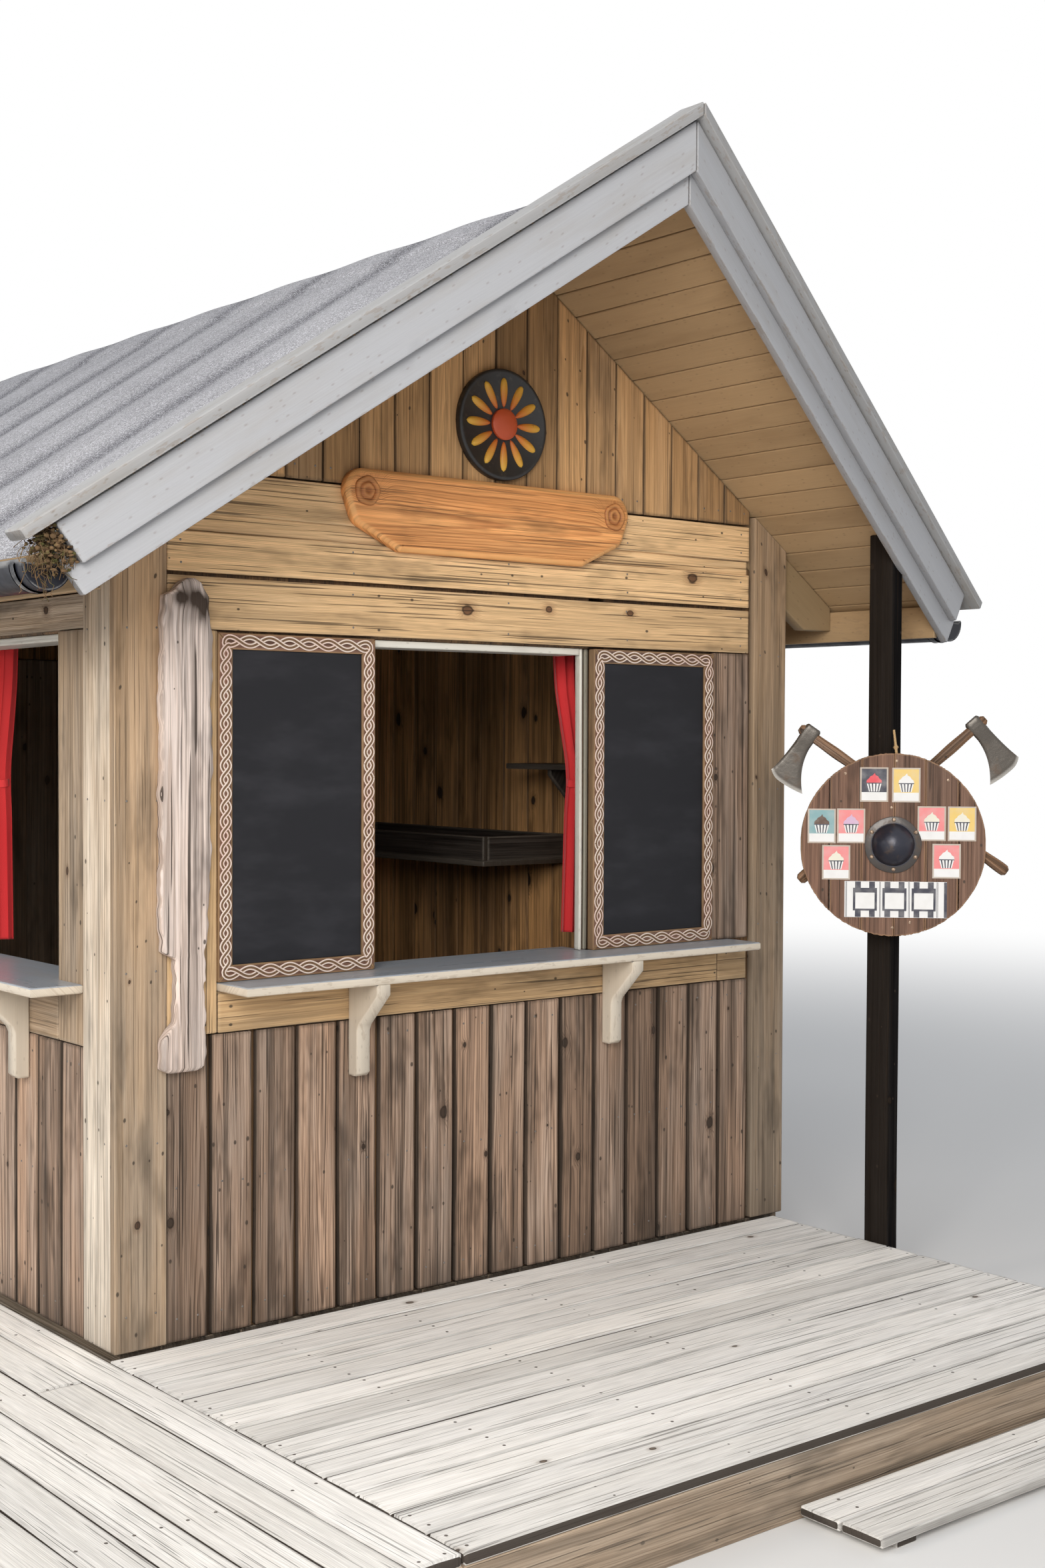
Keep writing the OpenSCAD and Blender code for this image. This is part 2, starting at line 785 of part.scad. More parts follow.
// Signs
module sign_plaque() {
    h = plaque_z1 - plaque_z0;
    ear = 62;
    foot = 190;
    color("#a8642c") translate([0, -plaque_t, 0]) wall_sheet(0, plaque_t) hull() {
        for (x = [plaque_x0 + ear, plaque_x1 - ear]) translate([x, plaque_z1 - ear]) circle(ear);
        translate([plaque_x0 + foot, plaque_z0]) square([plaque_w - 2 * foot, h - ear]);
        for (x = [plaque_x0 + 70, plaque_x1 - 70]) translate([x, plaque_z0 + 110]) circle(50);
    }
}

module sign_rosette() {
    heart = rosette_d * 0.14;
    petal = rosette_d * 0.27;
    color("#20201f") translate([mid_x + 12, 0, rosette_z]) rotate([90, 0, 0]) {
        cylinder(d = rosette_d, h = rosette_t, $fn = 64);
        cylinder(r = heart, h = rosette_t + 14);
        for (i = [0 : petal_n - 1]) rotate(i * 360 / petal_n)
            translate([0, heart + petal / 2 + 4, 0]) scale([0.3, 1, 1])
                cylinder(d = petal, h = rosette_t + 8, $fn = 24);
    }
}

// A weathered plank with ragged edges that follow slow waves, narrow near its foot
function plank_half(t) = driftwood_w * (0.5 + 0.1 * sin(468 * t + 200) + 0.06 * sin(1476 * t)
    - 0.22 * exp(-pow((t - 0.22) / 0.09, 2)));
function plank_mid(t) = driftwood_x + driftwood_w * 0.08 * sin(324 * t + 40);

module driftwood_plank() {
    foot = driftwood_z;
    len = driftwood_len;
    steps = 26;
    left = [for (i = [0 : steps]) let (t = i / steps)
        [plank_mid(t) - plank_half(t), foot + len * t]];
    right = [for (i = [steps : -1 : 0]) let (t = i / steps)
        [plank_mid(t) + plank_half(t + 0.03), foot + len * t]];
    color("#b3aaa0") wall_sheet(board_t - corner_t - driftwood_t, board_t - corner_t)
        polygon(concat(left, right));
}

// Post with its shield
module roof_post() {
    z1 = soffit(post_x);
    color("#1f1b19") difference() {
        box([post_x, post_y, -deck_h], [post_x + post_w, post_y + post_d, z1]);
        on_slope() translate([-far / 10, -far / 2, 0]) cube([far, far, far / 4]);
    }
}

// The shield faces the corner between the front and the left: z points away from the post
module on_shield() {
    translate([post_x, post_y, shield_z]) rotate([0, 0, -45]) rotate([90, 0, 0]) children();
}

shield_back = 2 * handle_t;

module shield_board() {
    color("#6b4a38") on_shield() translate([0, 0, shield_back + touch])
        cylinder(d = shield_d, h = shield_t, $fn = 96);
}

module shield_boss() {
    flange_h = 4;
    dome_h = 52;
    r = (dome_h * dome_h + dome_d * dome_d / 4) / (2 * dome_h);
    color("#55524f") on_shield() translate([0, 0, shield_back + shield_t + 2 * touch]) {
        cylinder(d = flange_d, h = flange_h);
        rotate_extrude() intersection() {
            translate([0, flange_h + dome_h - r]) circle(r, $fn = 96);
            translate([0, flange_h / 2]) square([dome_d / 2, dome_h + flange_h]);
        }
        for (i = [0 : 5]) rotate(i * 60 + 30) translate([(flange_d + dome_d) / 4, 0, flange_h])
            cylinder(d1 = 13, d2 = 8, h = 4);
    }
}

// A bearded axe lying on the back of the shield, its head up to the right
module axe() {
    eye = handle_len / 2 - 38;
    edge = axe_head_len;
    flare = 12;
    translate([0, handle_cross, 0]) rotate([0, 0, handle_tilt - 90]) {
        translate([-handle_w / 2, -handle_len / 2, 0])
            cube([handle_w, handle_len, handle_t - touch]);
        translate([0, eye, 0]) linear_extrude(handle_t - touch) union() {
            translate([-handle_w / 2 - 9, -27]) square([handle_w + 18, 54]);
            difference() {
                polygon([[0, -27], [0, 27], [edge, 34], [edge + flare, -20], [edge - 6, -92]]);
                translate([edge * 0.42, -118]) circle(94, $fn = 64);
                translate([edge * 0.5, 158]) circle(133, $fn = 64);
            }
        }
    }
}

module crossed_axes() {
    color("#6a6058") on_shield() {
        translate([0, 0, touch]) axe();
        translate([0, 0, handle_t + touch]) mirror([1, 0, 0]) axe();
    }
}

// Decks
module front_deck_boards() {
    n = round(deck_reach / deck_pitch);
    step = deck_reach / n;
    color("#b5aa9b") for (i = [0 : n - 1])
        box([deck_x0, -(i + 1) * step, -deck_t], [deck_x1, -i * step - deck_gap, 0]);
}

module side_deck_boards() {
    color("#b5aa9b") for (i = [0 : side_boards - 1])
        box([side_x0 + i * deck_pitch, -deck_reach, -deck_t],
            [side_x0 + (i + 1) * deck_pitch - deck_gap, hut_d, 0]);
}

// Two rims on edge with joists standing between them
module joist_grid(x0, x1, y0, y1) {
    n = ceil((x1 - x0) / joist_space);
    seat = joist_w + touch;
    for (i = [0 : n]) translate([x0 + i * (x1 - x0 - joist_w) / n, y0 + seat, -deck_h])
        cube([joist_w, y1 - y0 - 2 * seat, joist_h]);
    for (y = [y0, y1 - joist_w]) translate([x0, y, -deck_h]) cube([x1 - x0, joist_w, joist_h]);
}

module deck_frame() {
    color("#9c8c76") {
        joist_grid(deck_x0, deck_x1, -deck_reach, board_t - touch);
        mirror([1, -1, 0]) joist_grid(-deck_reach, hut_d, side_x0, deck_x0 - touch);
    }
}

// A low step of two boards on battens that butt against the deck
module front_step() {
    y1 = -deck_reach - 2 * deck_gap;
    batten_n = 3;
    color("#b5aa9b") {
        for (i = [0, 1])
            box([step_x0, y1 - (i + 1) * deck_pitch + deck_gap, step_batten_h - deck_h],
                [deck_x1, y1 - i * deck_pitch, step_h - deck_h]);
        for (i = [0 : batten_n - 1])
            translate([step_x0 + 60 + i * (deck_x1 - step_x0 - 190) / (batten_n - 1),
                y1 - 2 * deck_pitch + deck_gap + 10, -deck_h])
                cube([70, -deck_reach - touch - (y1 - 2 * deck_pitch + deck_gap + 10), step_batten_h]);
    }
}

// The whole hut stands on the ground, centred on the middle of its plan
module site() { translate([-mid_x, -hut_d / 2, deck_h]) children(); }

site() floor();
site() floor_bearers();
site() front_wall_left();
site() front_wall_right();
site() front_wall_below_hatch();
site() front_wall_over_hatch();
site() left_wall_front();
site() left_wall_rear();
site() left_wall_below_hatch();
site() left_wall_over_hatch();
site() right_wall();
site() rear_wall();
site() rear_door();
site() front_cladding();
site() front_header_boards();
site() gable_cladding();
site() left_cladding();
site() right_cladding();
site() rear_cladding();
site() corner_boards();
site() rafters();
site() eave_blocking();
site() roof_boards_left();
site() roof_boards_right();
site() roof_felt();
site() barge_boards_outer();
site() barge_boards_inner();
site() barge_caps();
site() rear_barge_boards();
site() eave_fascias();
site() gutters();
site() front_counter();
site() side_counter();
site() counter_brackets();
site() chalkboards();
site() hatch_frames();
site() hatch_curtains();
site() inner_shelves();
site() sign_plaque();
site() sign_rosette();
site() driftwood_plank();
site() roof_post();
site() shield_board();
site() shield_boss();
site() crossed_axes();
site() front_deck_boards();
site() side_deck_boards();
site() deck_frame();
site() front_step();
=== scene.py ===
# %% [markdown]
# # A small timber market hut
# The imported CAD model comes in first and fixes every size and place. On the real hut almost
# everything is sawn board, so most of this lesson is one good board, used several hundred times,
# and one good wood finish, mixed in several ways. The rest is felt, paint, cloth and iron.
# All lengths are metres. Shapes are worked out in the hut's own frame: x runs across the hut from
# its left wall, y into its depth from the front cladding, and z upwards from the top of the deck.

import bpy
import numpy as np
from mathutils import Matrix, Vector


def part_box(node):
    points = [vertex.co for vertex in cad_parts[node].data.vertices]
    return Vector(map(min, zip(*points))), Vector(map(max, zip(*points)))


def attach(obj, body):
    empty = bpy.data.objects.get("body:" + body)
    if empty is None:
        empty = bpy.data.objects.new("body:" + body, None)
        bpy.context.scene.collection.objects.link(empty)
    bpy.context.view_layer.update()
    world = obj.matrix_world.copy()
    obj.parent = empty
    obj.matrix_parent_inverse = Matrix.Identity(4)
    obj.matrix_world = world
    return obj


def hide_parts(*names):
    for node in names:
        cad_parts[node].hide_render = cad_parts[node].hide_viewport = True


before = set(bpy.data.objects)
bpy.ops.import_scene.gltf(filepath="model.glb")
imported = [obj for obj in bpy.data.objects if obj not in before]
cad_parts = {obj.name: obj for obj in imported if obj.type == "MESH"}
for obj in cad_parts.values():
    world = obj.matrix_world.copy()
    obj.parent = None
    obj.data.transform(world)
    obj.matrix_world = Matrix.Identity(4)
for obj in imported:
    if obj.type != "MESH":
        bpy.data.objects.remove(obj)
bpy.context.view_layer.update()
print("CAD nodes:", len(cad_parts))

# %% [markdown]
# ## The hut's own frame
# The CAD nodes say where the walls and the deck are. The few sizes that no node's box gives, such
# as the roof's slope, are written once here.

# %% Main sizes
origin = np.array([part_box("left_cladding")[0][0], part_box("front_cladding")[0][1],
                   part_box("front_deck_boards")[1][2]])


def low(node):
    """Lowest corner of a CAD node, in the hut's frame."""
    return np.array(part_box(node)[0]) - origin


def high(node):
    """Highest corner of a CAD node, in the hut's frame."""
    return np.array(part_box(node)[1]) - origin


hut_w, hut_d = high("right_cladding")[0], high("rear_cladding")[1]
mid_x = hut_w / 2
deck_h = -low("deck_frame")[2]
board_t, wall_in, sarking_t, barge_t = 0.022, 0.132, 0.022, 0.028
pitch, prow_reach, prow_rake = np.radians(35), 0.85, 0.24
ridge_z = high("roof_boards_left")[2] - sarking_t / np.cos(pitch)
roof_y0 = 2 * barge_t
roof_y1 = high("roof_boards_left")[1] + roof_y0
HAIR = 0.0005  # the gap left where two parts would touch
print("hut", hut_w, "by", hut_d, "m, ridge", round(ridge_z, 3))


def soffit(x):
    """Height of the roof boards' underside: the ridge less the slope times the way out from it."""
    return ridge_z - np.tan(pitch) * np.abs(x - mid_x)


def prow(x):
    """Front line of the roof: it starts at the peak and comes back by a fixed rake on each side."""
    return -prow_reach + prow_rake * np.abs(x - mid_x)


# %% [markdown]
# ## The camera
# It stands at the fitted place of the photograph, with a heading measured from the hut's depth
# towards its right, a slight downward pitch and a trace of roll.

# %% Camera
def standing(axes, place):
    """A matrix that stands an object at a place, with its x, y and z along three axes."""
    turned = np.eye(4)
    turned[:3, :3] = np.column_stack(axes)
    turned[:3, 3] = place
    return Matrix(turned.tolist())


cam_yaw, cam_pitch, cam_roll = np.radians([39.18, -1.3, 0.25])
ahead = np.array([np.sin(cam_yaw) * np.cos(cam_pitch), np.cos(cam_yaw) * np.cos(cam_pitch),
                  np.sin(cam_pitch)])
level = np.array([np.cos(cam_yaw), -np.sin(cam_yaw), 0.0])
above = np.cross(level, ahead)
right = level * np.cos(cam_roll) + above * np.sin(cam_roll)
upward = above * np.cos(cam_roll) - level * np.sin(cam_roll)
camera = bpy.data.objects.new("camera", bpy.data.cameras.new("camera"))
camera.data.lens = 44.39
camera.data.sensor_width = 36.0
camera.matrix_world = standing([right, upward, -ahead], (-3.5875, -6.3342, 1.7924))
bpy.context.collection.objects.link(camera)
bpy.context.scene.camera = camera

# %% [markdown]
# ## Gathering a mesh
# A wall is dozens of boards that look alike and never move apart, so they become one mesh. A pile
# gathers their vertices and faces as arrays, with a few values that the finishes read: the board's
# tone, where its grain runs, which faces are sawn ends and how much painted shade the other faces
# carry, and which vertices lie on an edge, which some finishes wear pale and others darken with dirt
# and painted shade.

# %% Pile
STRAIGHT = (0.0, 0.02, 0.0)


class Pile:
    """Vertices, faces and their values, kept as arrays until one mesh is made of them."""

    def __init__(self):
        self.points, self.faces, self.uv = [], [], []
        self.tone, self.end, self.grain, self.edge = [], [], [], []
        self.count = 0

    def add(self, points, faces, uv, tone=0.5, end=0.0, grain=STRAIGHT, edge=0.0):
        """Adds faces that all have the same number of corners, with a uv pair for each corner."""
        points = np.asarray(points, float).reshape(-1, 3)
        faces = np.asarray(faces, int)
        n = len(faces)
        self.points.append(points)
        self.faces += (faces + self.count).tolist()
        self.uv.append(np.asarray(uv, float).reshape(-1, 2))
        self.tone.append(np.broadcast_to(tone, n))
        self.end.append(np.broadcast_to(end, n))
        self.grain.append(np.broadcast_to(grain, (n, 3)))
        self.edge.append(np.broadcast_to(edge, len(points)))
        self.count += len(points)

    def take(self, part, side):
        """Takes in a finished part, carried to its own side of the hut."""
        self.points.append(side(np.concatenate(part.points)))
        self.faces += [[i + self.count for i in face] for face in part.faces]
        for values in ("uv", "tone", "end", "grain", "edge"):
            getattr(self, values).extend(getattr(part, values))
        self.count += part.count


def piece(name, pile, finish, slot, *nodes, sharp=50):
    """Makes one object of a pile, puts it in the row frame and hides the CAD nodes that it stands in for."""
    mesh = bpy.data.meshes.new(name)
    mesh.from_pydata(np.concatenate(pile.points) + origin, [], pile.faces)
    mesh.uv_layers.new(name="board").data.foreach_set("uv", np.concatenate(pile.uv).ravel())
    for key, kind, where in (("tone", "FLOAT", "FACE"), ("end", "FLOAT", "FACE"),
                             ("edge", "FLOAT", "POINT"), ("grain", "FLOAT_VECTOR", "FACE")):
        data = mesh.attributes.new(key, kind, where).data
        values = np.concatenate(getattr(pile, key)).astype(np.float32)
        data.foreach_set("vector" if key == "grain" else "value", values.ravel())
    mesh.materials.append(finish)
    mesh.shade_smooth()
    mesh.set_sharp_from_angle(angle=np.radians(sharp))
    made = bpy.data.objects.new(name, mesh)
    bpy.context.collection.objects.link(made)
    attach(made, "root")
    if nodes:
        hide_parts(*nodes)
    print(f"{name}: {len(mesh.polygons)} faces, {1000 * volume(mesh):.1f} litres")
    return made


def volume(mesh):
    """Sum over triangles of a . (b x c) / 6, which is positive if the faces point out."""
    mesh.calc_loop_triangles()
    corners = np.empty(3 * len(mesh.loop_triangles), int)
    mesh.loop_triangles.foreach_get("vertices", corners)
    co = np.empty(3 * len(mesh.vertices))
    mesh.vertices.foreach_get("co", co)
    a, b, c = co.reshape(-1, 3)[corners.reshape(-1, 3)].transpose(1, 0, 2)
    return np.einsum("ij,ij->", a, np.cross(b, c)) / 6


# %% [markdown]
# ## One board
# A sawn board is a profile carried from one end to the other. Its arrises are rounded off by a
# couple of millimetres, its ends are eased the same way, it cups a little across its width and
# wanders a little along its length. A plain box would catch no light on its edges. Four corners on
# the face let an end be cut at a slant, as under a roof slope or at a mitre.

# %% Boards
# The profile goes round from the left arris of the face: fraction of the width and of the
# thickness, steps of the arris radius from there, millimetres further in, and wear
SQUARE = np.array([
    (0, 0, 1, 0, 0, 1), (0, 0, 1, 0, 5, 0), (0.5, 0, 0, 0, 0, 0), (1, 0, -1, 0, -5, 0),
    (1, 0, -1, 0, 0, 1), (1, 0, -0.29, 0.29, 0, 1), (1, 0, 0, 1, 0, 1),
    (1, 1, 0, -1, 0, 1), (1, 1, -0.29, -0.29, 0, 1), (1, 1, -1, 0, 0, 1),
    (0, 1, 1, 0, 0, 1), (0, 1, 0.29, -0.29, 0, 1), (0, 1, 0, -1, 0, 1),
    (0, 0, 0, 1, 0, 1), (0, 0, 0.29, 0.29, 0, 1)])


def size(vectors):
    """Length of each vector."""
    return np.linalg.norm(vectors, axis=-1)


def unit(vectors):
    """The same vectors, each of length one."""
    return vectors / size(vectors)[..., None]


def tube(k, p, closed=False):
    """Faces between k rings of p points, numbered ring after ring."""
    j, ring = np.arange(k if closed else k - 1)[:, None], np.arange(p)
    j1, r1 = (j + 1) % k, (ring + 1) % p
    quads = np.broadcast_arrays(j * p + ring, j1 * p + ring, j1 * p + r1, j * p + r1)
    return np.stack(quads, -1).reshape(-1, 4)


def boards(pile, a0, a1, b0, b1, back, back_end=None, arris=0.0025, cup=0.0008, wander=0.0006,
           sides=0.35, dark=0.0, seed=1):
    """Boards as one profile swept along straight lines, all of them at once.
    Each face's left edge goes from a0 to a1 and its right edge from b0 to b1. back points from the
    face to the back at the first cross-section, and back_end does so at the last.
    Point = left edge + width fraction * width + thickness fraction * back + rounding + small waves.
    Two amounts darken faces as painted shade: one on the two side faces, one over a whole board."""
    back_end = back if back_end is None else back_end
    a0, a1, b0, b1, back, back_end = np.broadcast_arrays(
        *[np.atleast_2d(np.asarray(p, float)) for p in (a0, a1, b0, b1, back, back_end)])
    random = np.random.default_rng(seed)
    n = len(a0)
    along, across = (a1 + b1 - a0 - b0) / 2, (b0 + b1 - a0 - a1) / 2
    turn = (np.einsum("ij,ij->i", np.cross(along, across), back) > 0)[:, None]
    a0, b0 = np.where(turn, b0, a0), np.where(turn, a0, b0)
    a1, b1 = np.where(turn, b1, a1), np.where(turn, a1, b1)
    length = size(along)[:, None]
    bays = max(1, int(np.ceil(length.max() / 0.16)))
    eased = arris + 0.008
    inner = eased + (length - 2 * eased) * np.linspace(0, 1, bays + 1)
    s = np.hstack([0 * length, arris + 0 * length, inner, length - arris, length])
    inset, worn = np.zeros((2, s.shape[1]))
    inset[[0, -1]] = arris
    worn[[0, 1, -2, -1]] = 1
    t = (s / length)[..., None]
    left, right_edge = a0[:, None] + (a1 - a0)[:, None] * t, b0[:, None] + (b1 - b0)[:, None] * t
    depth = back[:, None] + (back_end - back)[:, None] * t
    width, thick = size(right_edge - left)[..., None], size(depth)[..., None]
    f, g, rx, ry, mm, wear = SQUARE.T
    sign = random.choice([-1.0, 1.0], n)[:, None, None] * random.uniform(0.3, 1.0, (n, 1, 1))
    x = f * width + rx * arris + mm * 0.001 + inset[:, None] * (1 - 2 * f)
    y = g * thick + ry * arris + inset[:, None] * (1 - 2 * g) + cup * sign * (f == 0.5)
    phase = random.uniform(0, 6.28, (2, n, 1))
    sway = wander * np.sin(2 * np.pi * s / 1.3 + phase[0])[..., None, None]
    bow = wander * np.sin(2 * np.pi * s / 1.7 + phase[1])[..., None, None]
    to_right, to_back = unit(right_edge - left)[:, :, None], unit(depth)[:, :, None]
    points = left[:, :, None] + to_right * (x[..., None] + sway) + to_back * (y[..., None] + bow)
    k, p = s.shape[1], len(SQUARE)
    x, y = np.broadcast_to(x, (n, k, p)), np.broadcast_to(y, (n, k, p))
    ring = np.arange(p)
    quads = (tube(k, p) + k * p * np.arange(n)[:, None, None]).reshape(-1, 4)
    # The uv map lies on the board like tape: u along the grain, v round the profile, in metres
    shift = random.uniform(0, 40, (2, n, 1))
    u = s + shift[0]
    step_x = np.roll(x, -1, -1)[:, k // 2] - x[:, k // 2]
    step_y = np.roll(y, -1, -1)[:, k // 2] - y[:, k // 2]
    v = np.hstack([0 * length, np.cumsum(np.hypot(step_x, step_y), 1)]) + shift[1]
    uu = np.stack([u[:, :-1], u[:, 1:], u[:, 1:], u[:, :-1]], 2)[:, :, None]
    vv = np.stack([v[:, :-1], v[:, :-1], v[:, 1:], v[:, 1:]], 2)[:, None]
    uv = np.stack(np.broadcast_arrays(uu, vv), -1)
    tone = random.uniform(0, 1, n)
    tilt = random.uniform(-0.02, 0.02, n)
    grain = np.stack([shift[1][:, 0] + width.mean(1)[:, 0] * random.normal(0.5, 0.55, n),
                      random.uniform(-0.01, 0.05, n) - tilt * shift[0][:, 0], tilt], 1)
    per = (k - 1) * p
    edge = np.maximum(np.broadcast_to(wear, (k, p)), worn[:, None]).ravel()
    # Painted shade: the two side faces, which lie in the grooves between boards, get one amount, and a board
    # set in shade gets another over all its faces. The finishes read it through the same value as the sawn
    # ends.
    groove = np.tile(np.where((ring == 6) | (ring == 12), sides, 0.0), (k - 1) * n)
    groove = np.maximum(groove, np.repeat(np.broadcast_to(dark, n), per))
    pile.add(points, quads, uv, np.repeat(tone, per), groove, np.repeat(grain, per, 0), np.tile(edge, n))
    base = k * p * (np.arange(n)[:, None] - n)
    caps = np.vstack([base + ring, base + (k - 1) * p + ring[::-1]])
    cut = np.stack(np.broadcast_arrays(y[:, 0], x[:, 0]), -1) + shift.transpose(1, 2, 0)
    cap_uv = np.concatenate([cut, cut[:, ::-1]])
    pile.add(np.empty((0, 3)), caps, cap_uv, np.tile(tone, 2), 1.0, np.tile(grain, (2, 1)))


# %% [markdown]
# ## Walls of boards
# The four walls are clad in the same way, so a board is set out on a wall that faces the reader,
# with x along it, y into it and z up, and then carried to its own side of the hut.

# %% Setting out
def on_front(p):
    return p


def on_left(p):
    """Swaps x and y, so that the wall's length runs into the depth of the hut."""
    return p[..., [1, 0, 2]]


def on_right(p):
    return np.stack([hut_w - p[..., 1], p[..., 0], p[..., 2]], -1)


def on_rear(p):
    return np.stack([hut_w - p[..., 0], hut_d - p[..., 1], p[..., 2]], -1)


def row(*values):
    """Points from three values, each a number or one number for each board."""
    return np.stack(np.broadcast_arrays(*[np.asarray(v, float) for v in values]), -1)


def upright(pile, side, x0, x1, z0, z1, z1_right=None, face=0.0, t=board_t, **look):
    """Upright boards from x0 to x1. A second top height cuts the top at a slant."""
    z1_right = z1 if z1_right is None else z1_right
    boards(pile, side(row(x0, face, z0)), side(row(x0, face, z1)), side(row(x1, face, z0)),
           side(row(x1, face, z1_right)), side(row(0, t, 0)) - side(row(0, 0, 0)), **look)


def lying(pile, side, x0, x1, z0, z1, face=0.0, t=board_t, **look):
    """Level boards from x0 to x1, with their lower edge at z0 and their upper edge at z1."""
    boards(pile, side(row(x0, face, z0)), side(row(x1, face, z0)), side(row(x0, face, z1)),
           side(row(x1, face, z1)), side(row(0, t, 0)) - side(row(0, 0, 0)), **look)


def flat_boards(pile, x0, x1, y0, y1, z0, z1, by_x=False, **look):
    """Boards that lie flat with their face at z1, running along y or, by_x, along x."""
    near, far = (row(x1, y0, z1), row(x0, y1, z1)) if by_x else (row(x0, y1, z1), row(x1, y0, z1))
    boards(pile, row(x0, y0, z1), near, far, row(x1, y1, z1), row(0, 0, np.subtract(z0, z1)), **look)


def set_out(start, stop, width, groove):
    """Left and right edges of equal boards that fill a stretch, with a groove after each."""
    count = max(1, round((stop - start + groove) / width))
    step = (stop - start + groove) / count
    left = start + step * np.arange(count)
    return left, left + step - groove


def set_out_gable(start, stop, width, groove):
    """The same for a gable, with a joint right under the peak."""
    halves = (start, mid_x - groove / 2), (mid_x + groove / 2, stop)
    return np.concatenate([set_out(*half, width, groove) for half in halves], 1)


def slanted(left, right):
    """Two heights of a board's top that is cut to the roof boards."""
    return soffit(left) - 0.001, soffit(right) - 0.001


# %% [markdown]
# ## Finishes in nodes
# Every finish is procedural, built from a handful of node kinds. A small class keeps the lines that
# make and join them short. It adds no looks of its own. Colours are written as three numbers.

# %% Node helper
class Finish:
    """A material under construction, with short names for the nodes that the finishes share."""

    def __init__(self, name, owner=None):
        self.material = bpy.data.materials.new(name) if owner is None else owner
        self.material.use_nodes = True
        self.tree = self.material.node_tree
        self.shader = self.tree.nodes.get("Principled BSDF")

    def join(self, socket, value):
        if isinstance(value, bpy.types.NodeSocket):
            self.tree.links.new(value, socket)
        elif value is not None:
            socket.default_value = (*value, 1.0) if socket.type == "RGBA" else value

    def node(self, kind, *values, named=(), **settings):
        """A node with its inputs filled in, first in order and then by name."""
        made = self.tree.nodes.new("ShaderNode" + kind)
        for key, value in settings.items():
            setattr(made, key, value)
        for key, value in [*enumerate(values), *dict(named).items()]:
            self.join(made.inputs[key], value)
        return made

    def math(self, operation, *values, clamp=False):
        return self.node("Math", *values, operation=operation, use_clamp=clamp).outputs[0]

    def add(self, a, b):
        return self.math("ADD", a, b)

    def times(self, a, b):
        return self.math("MULTIPLY", a, b)

    def less(self, a, b):
        return self.math("SUBTRACT", a, b)

    def scaled(self, a, factor, plus):
        return self.math("MULTIPLY_ADD", a, factor, plus)

    def above(self, a, limit):
        return self.math("GREATER_THAN", a, limit)

    def far(self, a, b):
        """Length of a vector with two parts, a and b."""
        return self.math("SQRT", self.add(self.times(a, a), self.times(b, b)))

    def ramp(self, value, start, stop, low=0.0, high=1.0):
        """A smooth step from low to high as the value goes from start to stop."""
        return self.node("MapRange", value, start, stop, low, high,
                         interpolation_type="SMOOTHSTEP").outputs[0]

    def vector(self, x, y, z=0.0):
        return self.node("CombineXYZ", x, y, z).outputs[0]

    def noise(self, vector, scale=1.0, detail=2.0, roughness=0.5):
        named = {"Vector": vector, "Scale": scale, "Detail": detail, "Roughness": roughness}
        return self.node("TexNoise", named=named).outputs["Fac"]

    def mix(self, amount, a, b, blend="MIX"):
        return self.node("Mix", named={0: amount, 6: a, 7: b}, data_type="RGBA",
                         blend_type=blend).outputs[2]

    def shaded(self, colour, light):
        """A colour multiplied by a grey value."""
        grey = self.node("CombineColor", light, light, light).outputs[0]
        return self.mix(1.0, colour, grey, "MULTIPLY")

    def value(self, name, vector=False):
        """A value that the mesh carries, such as a board's tone."""
        made = self.node("Attribute", attribute_name=name)
        return made.outputs["Vector" if vector else "Fac"]

    def parts(self, vector):
        return self.node("SeparateXYZ", vector).outputs

    def board_uv(self):
        return self.parts(self.node("UVMap", uv_map="board").outputs[0])[:2]

    def place(self):
        """The point on the object, in the row frame."""
        return self.node("TexCoord").outputs["Object"]

    def stretched(self, by):
        """The same point, with each axis multiplied, so that a noise on it is drawn out."""
        return self.node("VectorMath", self.place(), by, operation="MULTIPLY").outputs[0]

    def seen(self):
        """1 for what the camera, a mirrored surface or a clear one shows, and 0 for other light."""
        rays = self.node("LightPath").outputs
        shown = self.math("MAXIMUM", rays["Is Glossy Ray"], rays["Is Transmission Ray"])
        return self.math("MAXIMUM", rays["Is Camera Ray"], shown)

    def finish(self, colour=None, roughness=None, height=None, depth=0.001, **constant):
        """Joins the colour, the gloss and the relief to the shader, and sets what is constant."""
        self.join(self.shader.inputs["Base Color"], colour)
        self.join(self.shader.inputs["Roughness"], roughness)
        if height is not None:
            bump = self.node("Bump", named={"Strength": 1.0, "Distance": depth, "Height": height})
            self.join(self.shader.inputs["Normal"], bump.outputs[0])
        for key, value in constant.items():
            name = key.replace("_", " ").title().replace("Ior", "IOR")
            self.join(self.shader.inputs[name], value)
        return self.material


def speckled(name, one, other, scale, step=None, **constant):
    """A plain finish of two colours, mixed by a noise."""
    f = Finish(name)
    amount = f.noise(f.place(), scale)
    amount = amount if step is None else f.ramp(amount, *step)
    return f.finish(f.mix(amount, one, other), **constant)


# %% [markdown]
# ## Grain
# Flat-sawn spruce shows nested arches, where the saw cut through the yearly rings at a shallow
# angle. The distance from a slightly tilted pith line, divided by the ring's width, gives those
# arches when only its fraction is kept. A knot pushes the rings aside, so each knot adds a small
# hill to the distance, and the rings close round it as they do in wood. All of it is read from the
# board's own uv map, so the grain follows the board round its edges.

